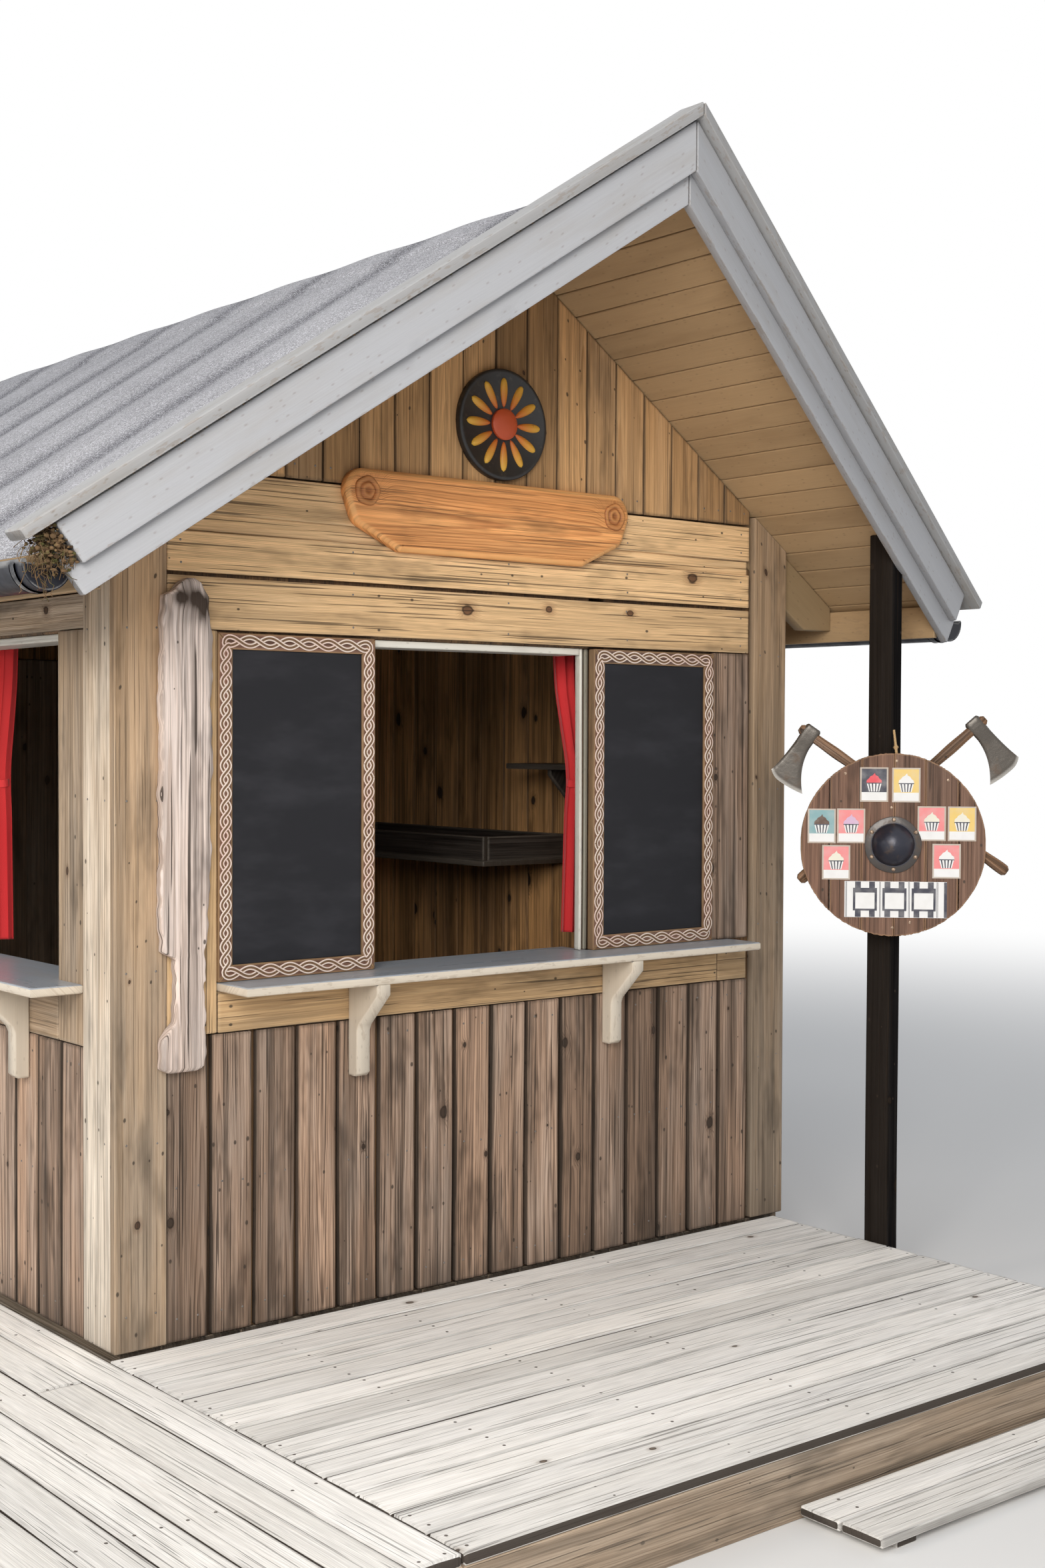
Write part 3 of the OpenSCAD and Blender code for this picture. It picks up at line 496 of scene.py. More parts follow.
# %% Grain
class Wood(Finish):
    """A finish that knows its board: position, rings, fibres, knots and tone."""

    def __init__(self, name, ring, knots, eyes=(), knot_size=0.016):
        super().__init__(name)
        self.u, self.v = u, v = self.board_uv()
        pith, deep, tilt = self.parts(self.value("grain", vector=True))
        self.tone = self.value("tone")
        self.shift = self.times(self.tone, 37.0)
        warp = self.less(self.streaks(1.4, 5.0, detail=1.0), 0.5)
        fine = self.less(self.streaks(12.0, 70.0, detail=1.0), 0.5)
        warped = self.add(v, self.scaled(fine, 0.0035, self.times(warp, 0.022)))
        ratio, radius = self.knot_field(self.shift, 0.34, 0.15, knots, knot_size)
        ratio = self.times(ratio, self.scaled(fine, 0.9, 1.0))
        hill = self.times(self.math("EXPONENT", self.times(self.times(ratio, ratio), -0.22)), radius)
        side, rise = self.less(warped, pith), self.scaled(u, tilt, self.scaled(warp, 0.012, deep))
        distance = self.scaled(hill, 1.7, self.far(side, rise))
        for eye_u, eye_v, wide in eyes:
            near = self.far(self.less(u, eye_u), self.less(self.add(v, self.times(warp, 0.03)), eye_v))
            near = self.math("POWER", self.times(near, 0.55 / wide), 2.0)
            swell = self.math("EXPONENT", self.times(near, -1.0))
            distance = self.add(distance, self.times(swell, 3.2 * wide))
        count = self.times(distance, 1 / ring)
        saw = self.math("FRACT", count)
        late = self.times(self.ramp(saw, 0.35, 0.86), self.ramp(saw, 0.9, 1.0, 1.0, 0.0))
        year = self.node("TexWhiteNoise", noise_dimensions="1D", named={"W": self.math("FLOOR", count)})
        self.late = self.times(late, self.scaled(year.outputs["Value"], 0.8, 0.2))
        self.fibre = self.streaks(12.0, 520.0, detail=1.0)
        self.lines = self.streaks(1.8, 150.0, 2.0, across=warped, roughness=0.62)
        real = self.above(radius, 0.002)
        self.knot = self.times(self.ramp(ratio, 0.85, 1.1, 1.0, 0.0), real)
        self.halo = self.times(self.ramp(ratio, 0.8, 3.2, 1.0, 0.0), real)
        rim = self.times(self.ramp(ratio, 0.7, 1.0), self.ramp(ratio, 1.0, 1.35, 1.0, 0.0))
        self.rim = self.times(rim, real)

    def streaks(self, by_u, by_v, offset=0.0, across=None, **noise):
        """Noise drawn out along the board, other on each board."""
        shift = self.add(self.shift, offset) if offset else self.shift
        v = self.v if across is None else across
        at = self.vector(self.times(self.u, by_u), self.times(v, by_v), shift)
        return self.noise(at, **noise)

    def knot_field(self, shift, cell_u, cell_v, share, biggest):
        """Distance to the nearest knot, in knot radii, and its radius. Few cells hold a big one."""
        cell = self.vector(self.scaled(self.u, 1 / cell_u, shift), self.times(self.v, 1 / cell_v))
        voronoi = self.node("TexVoronoi", voronoi_dimensions="2D",
                            named={"Vector": cell, "Scale": 1.0, "Randomness": 0.85})
        gap = self.parts(self.node("VectorMath", cell, voronoi.outputs["Position"],
                                   operation="SUBTRACT").outputs[0])
        radius = self.ramp(self.parts(voronoi.outputs["Color"])[0], 1 - share, 1.1, 0.0, biggest)
        away = self.far(self.times(gap[0], cell_u * 0.7), self.times(gap[1], cell_v))
        return self.math("DIVIDE", away, self.add(radius, 0.0004)), radius


# %% [markdown]
# ## Bare wood
# The walls have never been painted. Under the roof the spruce is still honey brown. Lower down,
# rain and sun have taken it to grey brown, in streaks that run with the grain, and the latewood
# lines stand proud because the soft wood between them has worn away.

# %% Bare wood
# A dark brown for dirt, and also for painted shade: on board sides in the grooves, on boards set in shade,
# on darkened arrises and on the wall cores.
DIRT_AND_SHADE = (0.045, 0.034, 0.026)


def bare_wood(name, early, late, knot_colour, grey, ring=0.0045, knots=0.5, contrast=0.75,
              greyness=0.3, streaks=0.8, lines=0.5, wet=0.0, sheltered=None, tone_range=0.3,
              checks=0.5, stains=0.4, sooty=0.5, pins=0.4, roughness=(0.62, 0.85), relief=0.0007,
              end_dark=0.75, edge_wear_and_shade=0.35, edge_colour=None, eyes=(), knot_size=0.016, **constant):
    """Sawn wood: rings over a base colour, then weather, stains, cracks, worn edges and painted shade."""
    f = Wood(name, ring, knots, eyes, knot_size)
    colour = f.mix(f.times(f.late, contrast), early, late)
    # Weather turns some boards, and some streaks of each board, to grey
    patch = f.streaks(1.6, 9.0, roughness=0.6)
    own = f.scaled(f.math("FRACT", f.times(f.tone, 7.3)), 0.5, greyness - 0.25)
    weather = f.scaled(f.less(f.scaled(patch, 0.6, f.times(f.lines, 0.4)), 0.5), 4.0 * streaks, own)
    if sheltered is not None:
        weather = f.add(weather, f.ramp(f.parts(f.place())[2], *sheltered, 0.0))
    weather = f.math("ADD", weather, 0.0, clamp=True)
    colour = f.mix(weather, colour, f.mix(f.times(f.late, contrast * 0.8), grey, late))
    # Fibres, lines, tone from board to board, dark runs of dirt and stains
    light = f.scaled(f.fibre, 0.5, 0.75)
    light = f.times(light, f.ramp(f.lines, 0.3, 0.66, 1 - lines, 1 + lines * 0.45))
    light = f.times(light, f.scaled(f.tone, tone_range, 1 - tone_range / 2))
    run = f.streaks(0.8, 26.0, 3.0, detail=3.0, roughness=0.6)
    light = f.times(light, f.ramp(run, 0.44, 0.66, 1.0 + sooty * 0.2, 1.0 - sooty * 0.75))
    stain = f.streaks(3.0, 11.0, 9.0, detail=3.0, roughness=0.68)
    light = f.times(light, f.ramp(stain, 0.5, 0.74, 1.0, 1.0 - stains))
    colour = f.shaded(colour, light)
    # Knots are darkest at the rim, and stain the wood round them
    colour = f.mix(f.times(f.halo, 0.45), colour, knot_colour)
    colour = f.mix(f.times(f.knot, 0.95), colour, f.mix(f.fibre, DIRT_AND_SHADE, knot_colour))
    colour = f.mix(f.times(f.rim, 0.85), colour, (0.022, 0.013, 0.008))
    if pins:
        dot, wide = f.knot_field(f.add(f.shift, 4.0), 0.115, 0.05, pins, 0.0042)
        dot = f.times(f.ramp(dot, 0.7, 1.5, 1.0, 0.0), f.above(wide, 0.001))
        colour = f.mix(f.times(dot, 0.85), colour, DIRT_AND_SHADE)
    # Cracks along the grain
    crack = f.times(f.ramp(f.streaks(2.2, 210.0, 5.0, detail=0.0), 0.69, 0.74), checks)
    colour = f.mix(f.times(crack, 0.85), colour, (0.03, 0.02, 0.014))
    if wet:
        height = f.scaled(f.lines, 0.16, f.parts(f.place())[2])
        damp = f.ramp(height, deck_h + 0.07, deck_h + 0.25, 1.0, 0.0)
        colour = f.mix(f.times(damp, wet), colour, DIRT_AND_SHADE)
    # Arrises: a positive amount wears them pale, and a negative one darkens them, partly as dirt and
    # partly as painted shade.
    arris_mask = f.times(f.value("edge"), f.streaks(8.0, 30.0))
    arris_colour = f.mix(0.5, grey, (0.55, 0.47, 0.37)) if edge_wear_and_shade > 0 else DIRT_AND_SHADE
    colour = f.mix(f.times(arris_mask, abs(edge_wear_and_shade)), colour, edge_colour or arris_colour)
    # Sawn ends are darker. The same value also darkens, as painted shade, the side faces in the grooves and
    # the boards set in shade.
    colour = f.mix(f.times(f.value("end"), end_dark), colour, DIRT_AND_SHADE)
    rough = f.ramp(f.late, 0.0, 1.0, roughness[1], roughness[0])
    height = f.scaled(f.late, 0.45, f.times(f.add(f.fibre, f.lines), 0.7))
    height = f.less(f.less(height, f.times(crack, 2.5)), f.times(f.rim, 0.8))
    return f.finish(colour, rough, height, relief, **{"specular_ior_level": 0.25, **constant})


# %% [markdown]
# ## Painted wood
# Opaque paint hides the colour of the grain but not its relief. Brush marks run along the board,
# dirt gathers in them, small specks show where rain has splashed, and the arrises are rubbed
# through to bare wood here and there.

# %% Painted wood
def painted_wood(name, paint, dirt, under=(0.3, 0.21, 0.13), dirty=0.5, specks=0.35, chips=0.3,
                 tone_range=0.1, roughness=0.5, top=None, gloss=0.4):
    """A film of paint over grain: brush marks, dirt, specks, chips along the arrises, and painted shade."""
    f = Wood(name, 0.005, 0.3)
    brush = f.streaks(4.0, 260.0)
    light = f.times(f.scaled(brush, 0.14, 0.93), f.scaled(f.tone, tone_range, 1 - tone_range / 2))
    light = f.times(light, f.scaled(f.halo, -0.06, 1.0))
    if top is not None:
        facing = f.parts(f.node("TexCoord").outputs["Normal"])[2]
        paint = f.mix(f.ramp(facing, 0.3, 0.6), paint, top)
    colour = f.shaded(paint, light)
    cloud = f.streaks(2.0, 11.0, detail=3.0, roughness=0.65)
    colour = f.mix(f.times(f.ramp(cloud, 0.45, 0.8), dirty), colour, dirt)
    at = f.vector(f.times(f.u, 28.0), f.times(f.v, 60.0))
    spot = f.node("TexVoronoi", voronoi_dimensions="2D", named={"Vector": at, "Scale": 1.0})
    lucky = f.above(f.parts(spot.outputs["Color"])[0], 0.8)
    speck = f.times(f.ramp(spot.outputs["Distance"], 0.05, 0.22, 1.0, 0.0), f.times(lucky, specks))
    colour = f.mix(speck, colour, f.mix(0.5, dirt, (0.1, 0.07, 0.05)))
    flake = f.streaks(18.0, 70.0, detail=3.0, roughness=0.7)
    flake = f.add(flake, f.times(f.value("edge"), 0.13))
    chip = f.times(f.ramp(flake, 0.7, 0.735), chips)
    colour = f.mix(chip, colour, under)
    height = f.less(f.scaled(brush, 0.5, f.times(f.late, 0.5)), f.times(chip, 1.2))
    rough = f.scaled(cloud, 0.25, roughness - 0.12)
    # Sawn ends are darker, and so are, as painted shade, the side faces and the boards set in shade.
    colour = f.mix(f.times(f.value("end"), 0.5), colour, DIRT_AND_SHADE)
    return f.finish(colour, rough, height, 0.00035, specular_ior_level=gloss)

# %% [markdown]
# ## The finishes of this hut
# Each stock of boards has its own mix: honey brown above, grey brown below, paler on the left side,
# where sunlight is painted into the corner boards, and near black inside.

# %% Wood finishes
KNOT = (0.1, 0.045, 0.02)
spruce_high = bare_wood(
    "spruce_high", (0.72, 0.48, 0.255), (0.45, 0.265, 0.12), (0.24, 0.105, 0.045), (0.58, 0.44, 0.28),
    greyness=0.1, streaks=0.5, contrast=0.5, stains=0.38, sooty=0.25, tone_range=0.5, checks=0.8,
    lines=0.18, edge_wear_and_shade=0.25, knot_size=0.019, pins=0.25)
spruce_gable = bare_wood(
    "spruce_gable", (0.56, 0.33, 0.15), (0.29, 0.145, 0.056), KNOT, (0.4, 0.28, 0.17), greyness=0.1,
    streaks=0.5, contrast=0.55, knots=0.35, stains=0.3, sooty=0.3, tone_range=0.8, lines=0.22,
    edge_wear_and_shade=-0.9)
spruce_low = bare_wood(
    "spruce_low", (0.37, 0.242, 0.165), (0.11, 0.064, 0.041), (0.045, 0.024, 0.014), (0.35, 0.27, 0.215),
    greyness=0.25, streaks=0.9, contrast=0.85, stains=0.55, sooty=0.62, checks=0.9, tone_range=0.7,
    relief=0.001, wet=0.45, edge_wear_and_shade=-0.7, lines=0.4, pins=0.5, knot_size=0.012)
spruce_corner = bare_wood(
    "spruce_corner", (0.52, 0.345, 0.2), (0.31, 0.185, 0.1), KNOT, (0.33, 0.255, 0.185), greyness=0.15,
    streaks=0.6, contrast=0.4, knots=0.4, sooty=0.35, tone_range=0.25, wet=0.3, lines=0.2,
    sheltered=(deck_h + 0.8, deck_h + 2.2, 0.8), knot_size=0.014)
# The left side's corner boards, paler than those of the front: painted sunlight.
spruce_painted_sunlight = bare_wood(
    "spruce_painted_sunlight", (0.46, 0.35, 0.245), (0.28, 0.195, 0.125), KNOT, (0.62, 0.545, 0.455), greyness=0.25,
    streaks=0.7, contrast=0.45, knots=0.35, stains=0.35, sooty=0.35, tone_range=0.25, wet=0.2, lines=0.25,
    sheltered=(deck_h + 0.2, deck_h + 1.7, 0.85), knot_size=0.013)
spruce_side = bare_wood(
    "spruce_side", (0.49, 0.35, 0.225), (0.25, 0.155, 0.09), KNOT, (0.46, 0.38, 0.3), streaks=0.7,
    contrast=0.5, knots=0.45, stains=0.45, sooty=0.4, tone_range=0.5, wet=0.3, lines=0.28, knot_size=0.013)
lining = bare_wood(
    "lining", (0.62, 0.33, 0.13), (0.2, 0.095, 0.038), (0.02, 0.01, 0.006), (0.2, 0.12, 0.065),
    greyness=0.15, contrast=0.7, tone_range=0.7, stains=0.5, sooty=0.6, roughness=(0.5, 0.7),
    edge_wear_and_shade=-0.6, pins=0)
deck_wood = bare_wood(
    "deck_wood", (0.9, 0.865, 0.81), (0.64, 0.575, 0.505), (0.3, 0.23, 0.175), (0.9, 0.875, 0.84),
    greyness=0.45, streaks=0.6, contrast=0.3, knots=0.14, stains=0.12, sooty=0.06, checks=0.6,
    tone_range=0.28, relief=0.0006, edge_wear_and_shade=-0.55, end_dark=0.97, lines=0.1, pins=0, knot_size=0.011)
rim_wood = bare_wood(
    "rim_wood", (0.42, 0.305, 0.205), (0.16, 0.098, 0.058), (0.08, 0.045, 0.026), (0.42, 0.335, 0.255),
    ring=0.0065, contrast=0.65, knots=0.4, stains=0.45, sooty=0.4, checks=0.8, tone_range=0.2,
    relief=0.001, lines=0.3)
bearer_wood = bare_wood(
    "bearer_wood", (0.27, 0.21, 0.15), (0.15, 0.105, 0.07), (0.06, 0.035, 0.02), (0.29, 0.25, 0.205),
    greyness=0.5, streaks=1.0, stains=0.5, relief=0.001)
floor_wood = bare_wood("floor_wood", (0.33, 0.25, 0.17), (0.2, 0.14, 0.088), KNOT, (0.27, 0.23, 0.19),
                       greyness=0.4, stains=0.5, edge_wear_and_shade=-0.4)

# %% Painted finishes
beige_paint = painted_wood("beige_paint", (0.42, 0.285, 0.155), (0.25, 0.155, 0.075), dirty=0.45,
                           chips=0.25, roughness=0.6, tone_range=0.16)
# The beige paint again, darker as painted shade under the eaves, and a little dirtier.
beige_paint_in_painted_shade = painted_wood("beige_paint_in_painted_shade", (0.28, 0.195, 0.105), (0.14, 0.09, 0.045), dirty=0.6,
                          roughness=0.65, tone_range=0.2)
grey_paint = painted_wood("grey_paint", (0.365, 0.368, 0.385), (0.28, 0.25, 0.21), dirty=0.4,
                          under=(0.24, 0.18, 0.12))
cap_paint = painted_wood("cap_paint", (0.33, 0.328, 0.33), (0.25, 0.215, 0.17), dirty=0.55, specks=0.5,
                         under=(0.22, 0.155, 0.1))
counter_paint = painted_wood("counter_paint", (0.64, 0.565, 0.465), (0.36, 0.29, 0.22), dirty=0.35,
                             specks=0.25, chips=0.25, roughness=0.3, top=(0.34, 0.375, 0.42), gloss=0.5)
white_paint = painted_wood("white_paint", (0.7, 0.67, 0.6), (0.4, 0.35, 0.28), specks=0.3, chips=0.15,
                           roughness=0.45)
# The white paint darkened to grey: painted shade inside the sliding track.
white_paint_in_painted_shade = painted_wood("white_paint_in_painted_shade", (0.27, 0.25, 0.2), (0.14, 0.12, 0.09), specks=0.3, chips=0.2)

# %% [markdown]
# ## Cladding
# Under the counter the boards stand upright with open grooves. Over the hatch three wide boards lie
# level, and narrower upright ones fill the gable up to the roof slope. Upright boards 150 mm wide
# stand beside the hatch like jambs.

# %% Levels and widths of the cladding
corner_w, corner_t, joint = 0.148, 0.026, 0.003
counter_z, counter_t = high("front_counter")[2], 0.025
sill = counter_z - counter_t
inner_x0, inner_x1, narrow_x = corner_w + joint, hut_w - 0.17, hut_w - 0.31
spacing = board_pitch, board_groove = 0.138, 0.016
# Open grooves: the side faces of these boards are painted fully in shade.
OPEN = dict(cup=0.0012, wander=0.0012, sides=1)
band_z, side_band_z = sill - 0.111, sill - 0.141
jamb_top, jamb_w = 1.905, 0.15
rows = [(1.905, 2.048), (2.056, 2.167), (2.212, 2.327)]
gable_z, gable_spacing = 2.33, (0.123, 0.004)
front_foot, skirt_z, side_top = 0.008, low("rear_cladding")[2], high("right_cladding")[2]
hatch_x0, _, hatch_z1 = low("front_wall_over_hatch")
hatch_x1 = high("front_wall_over_hatch")[0]
side_y0, side_y1 = low("left_wall_over_hatch")[1], high("left_wall_over_hatch")[1]
counter_x0, counter_x1 = low("front_counter")[0], high("front_counter")[0]
chalk_x0, chalk_x1 = low("chalkboards")[0], high("chalkboards")[0]

# %% Front cladding
pile = Pile()
left, right = set_out(inner_x0, inner_x1, *spacing)
# Painted shade darkens these boards towards the right.
upright(pile, on_front, left, right, front_foot, band_z - joint, **OPEN,
        dark=0.25 * np.clip(left / mid_x - 0.8, 0, 1), seed=11)
piece("front_cladding_boards", pile, spruce_low, "cladding", "front_cladding")

# %% Boards over and beside the hatch
pile = Pile()
starts, stops = np.array(rows).T
lying(pile, on_front, inner_x0, inner_x1, starts, stops - joint, seed=5082)
upright(pile, on_front, inner_x0, inner_x0 + jamb_w, band_z, jamb_top - joint, seed=13)
# Of the two band boards beside the counter, the right one is darkened as painted shade.
lying(pile, on_front, (counter_x0, narrow_x + joint), (narrow_x, inner_x1 - joint), band_z, sill,
      dark=(0.05, 0.45), seed=14)
lying(pile, on_front, inner_x0, inner_x1, rows[1][1] - 0.002, rows[2][0] + 0.002, face=0.011, t=0.01,
      seed=16)
piece("front_level_boards", pile, spruce_high, "cladding", "front_header_boards")
pile = Pile()
# These jamb boards on the right are darkened as painted shade.
upright(pile, on_front, (chalk_x1 + joint, narrow_x + joint), (narrow_x, inner_x1), counter_z,
        jamb_top - joint, dark=0.45, seed=18)
piece("front_jamb_boards", pile, spruce_low, "cladding")

# %% Gable cladding
pile = Pile()
left, right = set_out_gable(inner_x0, inner_x1, *gable_spacing)
# Painted shade darkens the right half of the gable, under the eave, and the side faces in its grooves.
upright(pile, on_front, left, right, gable_z, *slanted(left, right), sides=1,
        dark=0.4 * np.clip(left / mid_x - 1, 0, 1), seed=15)
piece("gable_boards", pile, spruce_gable, "cladding", "gable_cladding")

# %% Side cladding
side_in = corner_w + corner_t + joint
rear_end, rear_jamb, side_row = hut_d - side_in, side_y1 + joint + jamb_w, 1.998
pile = Pile()
lying(pile, on_left, side_in, rear_end, (jamb_top, side_row + joint), (side_row, side_top), seed=21)
upright(pile, on_left, (side_in, side_y1 + joint), (side_y0 - joint, rear_jamb), side_band_z,
        jamb_top - joint, seed=22)
lying(pile, on_left, side_y0, side_y1, side_band_z, sill, seed=23)
piece("left_cladding_boards", pile, spruce_side, "cladding", "left_cladding")
pile = Pile()
upright(pile, on_left, *set_out(side_in, rear_jamb, *spacing), front_foot, side_band_z - joint, **OPEN,
        seed=24)
upright(pile, on_left, *set_out(rear_jamb + board_groove, rear_end, *spacing), front_foot,
        jamb_top - joint, **OPEN, seed=25)
piece("left_foot_boards", pile, spruce_low, "cladding")
pile = Pile()
upright(pile, on_right, *set_out(side_in, rear_end, *spacing), skirt_z, side_top, **OPEN, seed=26)
piece("right_cladding_boards", pile, spruce_low, "cladding", "right_cladding")

# %% Rear cladding and the staff door
door_x0, door_w, door_h = 0.82, 0.86, 1.96
door_x1 = door_x0 + door_w
pile = Pile()
edges = np.stack(set_out_gable(inner_x0, hut_w - inner_x0, *spacing))
blocked = (edges[1] > door_x0) & (edges[0] < door_x1)
left, right = edges[:, ~blocked]
upright(pile, on_rear, left, right, skirt_z, *slanted(left, right), **OPEN, seed=31)
left, right = edges[:, blocked]
upright(pile, on_rear, left, right, door_h + joint, *slanted(left, right), seed=32)
upright(pile, on_rear, left, right, skirt_z, -joint, seed=33)
upright(pile, on_rear, left[left < door_x0], door_x0 - joint, 0.0, door_h, seed=34)
upright(pile, on_rear, door_x1 + joint, right[right > door_x1], 0.0, door_h, seed=35)
piece("rear_cladding_boards", pile, spruce_low, "cladding", "rear_cladding")
pile = Pile()
left, right = set_out(door_x0 + 0.004, door_x1 - 0.004, door_w / 6, 0.003)
upright(pile, on_rear, left, right, 0.001, door_h - 0.004, face=0.004, t=0.018, seed=36)
upright(pile, on_rear, left + HAIR, right + 0.002, 0.001, door_h - 0.0006, face=0.0225, t=0.0385, seed=37)
piece("rear_door_boards", pile, spruce_side, "cladding", "rear_door")

# %% Corner boards
pile = Pile()
rise = corner_t - board_t
for seed, carry, foot in ((41, on_front, front_foot), (42, on_rear, skirt_z)):
    left = np.array([-rise, hut_w - corner_w])
    right = left + corner_w + rise
    # In each pair, the board on the right as seen facing the wall is darkened as painted shade.
    upright(pile, carry, left, right, foot, *slanted(left, right), face=-rise, t=corner_t,
            dark=(0.0, 0.22), seed=seed)
left = np.array([board_t + 0.0003, hut_d - corner_w - corner_t])
right = left + corner_w + corner_t - board_t - 0.0003
upright(pile, on_right, left, right, skirt_z, side_top - 0.008, face=-rise, t=corner_t, seed=44)
piece("corner_trim_boards", pile, spruce_corner, "cladding", "corner_boards")
# The corner boards on the left side take the paler mix, as painted sunlight.
pile = Pile()
upright(pile, on_left, left, right, front_foot, side_top - 0.008, face=-rise, t=corner_t, seed=43)
piece("left_corner_boards", pile, spruce_painted_sunlight, "cladding")

# %% [markdown]
# ## Walls and floor inside
# Behind the cladding stands a stud frame, lined with dark stained boards. It shows through the
# hatches, and through the grooves of the cladding as black lines, because its core is painted near
# black as painted shade. Each wall is a plain core with a lining in front of it.

# %% Wall frames
plate_z, rafter_drop = high("left_wall_front")[2], 0.145 / np.cos(pitch)


def below(x):
    """Lower edge of the rafters."""
    return soffit(x) - rafter_drop


def wall(pile, side, x0, x1, z0, z1=None, wander=0.0003, seed=51):
    """A stretch of wall: a core 90 mm thick, painted near black all over as painted shade, and boards
    18 mm thick on the inside. Without a top height it reaches up to the rafters over the gables."""
    place = set_out_gable if z1 is None and x0 < mid_x < x1 else set_out
    left, right = place(x0, x1, 0.15, 0.0015)
    tops = (below(left) - 0.001, below(right) - 0.001) if z1 is None else (z1,)
    upright(pile, side, left, right, z0, *tops, face=wall_in - 0.0002, t=-0.018, arris=0.004,
            wander=wander, seed=seed)
    upright(pile, side, left, right + 0.0015, z0, *tops, face=board_t + 0.001, t=0.09, cup=0, wander=0,
            dark=1, seed=seed + 1)


foot, side_y_end = 0.001, hut_d - board_t
for i, (name, *place) in enumerate((
        ("front_wall_left", on_front, wall_in, hatch_x0, foot),
        ("front_wall_right", on_front, hatch_x1 + 0.062, hut_w - wall_in, foot),
        ("front_wall_below_hatch", on_front, hatch_x0, hatch_x1, foot, sill - 0.001),
        ("front_wall_over_hatch", on_front, hatch_x0, hatch_x1, hatch_z1),
        ("left_wall_front", on_left, board_t, side_y0, foot, plate_z),
        ("left_wall_rear", on_left, side_y1, side_y_end, foot, plate_z),
        ("left_wall_below_hatch", on_left, side_y0, side_y1, foot, sill - 0.001),
        ("left_wall_over_hatch", on_left, side_y0, side_y1, hatch_z1, plate_z),
        ("right_wall", on_right, board_t, side_y_end, foot, plate_z))):
    pile = Pile()
    wall(pile, *place, seed=51 + 2 * i)
    piece(name + "_lining", pile, lining, "wall_frame", name)
pile = Pile()
for x0, x1, z0, seed in ((wall_in, door_x0, foot, 69), (door_x0, door_x1, door_h, 71),
                         (door_x1, hut_w - wall_in, foot, 73)):
    wall(pile, on_rear, x0, x1, z0, wander=0.0006, seed=seed)
piece("rear_wall_lining", pile, lining, "wall_frame", "rear_wall")

# %% Floor and bearers
pile = Pile()
left, right = set_out(board_t, hut_w - board_t, 0.12, 0.002)
flat_boards(pile, left, right, board_t, side_y_end, -0.028, 0, wander=0.0004, seed=75)
piece("floor_boards", pile, floor_wood, "floor_boards", "floor")
pile = Pile()
left = np.array([board_t, mid_x - 0.0475, hut_w - board_t - 0.095])
flat_boards(pile, left, left + 0.095, board_t, side_y_end, -deck_h, -0.029, arris=0.003, seed=77)
piece("floor_bearer_beams", pile, bearer_wood, "bearer_timber", "floor_bearers")

# %% [markdown]
# ## Shapes that aren't boards
# A loft joins rings of points into a tube. A slab is a loft whose rings are one outline, eased at
# both faces. A sweep carries a profile along a path. Each of them finds out by its own signed
# volume whether its faces point outwards, and turns its rings round if they don't.

# %% Loft, slab and sweep
def loft(pile, rings, closed=False, tone=0.5, edge=0.0, end=0.0, shift=(0, 0), grain=STRAIGHT, flat=None):
    """Joins rings (k, p, 3) into a tube with flat ends, or into a closed loop.
    flat gives the uv of any point; without it u runs along the tube and v round it."""
    rings = np.asarray(rings, float)
    k, p, _ = rings.shape
    points, ring = rings.reshape(-1, 3), np.arange(p)
    quads, caps = tube(k, p, closed), [] if closed else [ring, (k - 1) * p + ring[::-1]]
    a, b, c, d = (points - points.mean(0))[quads].transpose(1, 0, 2)
    filled = np.sum(a * np.cross(b, c)) + np.sum(a * np.cross(c, d))
    for cap in caps:
        q = points[cap] - points.mean(0)
        filled += np.sum(q.mean(0) * np.cross(q, np.roll(q, -1, 0)))
    if filled < 0:
        quads, caps = quads[:, ::-1], [cap[::-1] for cap in caps]
    if flat is None:
        spine = rings.mean(1)
        gone = np.r_[0, np.cumsum(size(np.diff(spine, axis=0, append=spine[:1])))]
        widest = rings[size(np.roll(rings, -1, 1) - rings).sum(1).argmax()]
        about = np.r_[0, np.cumsum(size(np.roll(widest, -1, 0) - widest))]
        j, r = np.divmod(np.arange(len(quads))[:, None], p)
        uv = np.stack([gone[j + (0, 1, 1, 0)], about[r + (0, 0, 1, 1)]], -1)
        uv = (uv if filled >= 0 else uv[:, ::-1]) + shift
    else:
        uv = flat(points[quads]) + shift
    pile.add(points, quads, uv, tone, end, grain, np.broadcast_to(edge, (k, p)).ravel())
    for cap in caps:
        cap_uv = (points[cap][:, :2] if flat is None else flat(points[cap])) + shift
        pile.add(np.empty((0, 3)), cap[None] - k * p, cap_uv, tone, 1.0 if flat is None else end, grain)


def shrink(outline, by):
    """Moves an outline inwards: each point goes along the mean of the normals of the two segments that meet
    at it.
    """
    after = np.roll(outline, -1, 0) - outline
    normal = unit(np.stack([-after[:, 1], after[:, 0]], 1))
    mean = normal + np.roll(normal, 1, 0)
    mean /= np.maximum(np.sum(mean ** 2, 1) / 2, 0.35)[:, None]
    area = np.sum(outline[:, 0] * after[:, 1] - outline[:, 1] * after[:, 0])
    return outline + np.sign(area) * mean * by


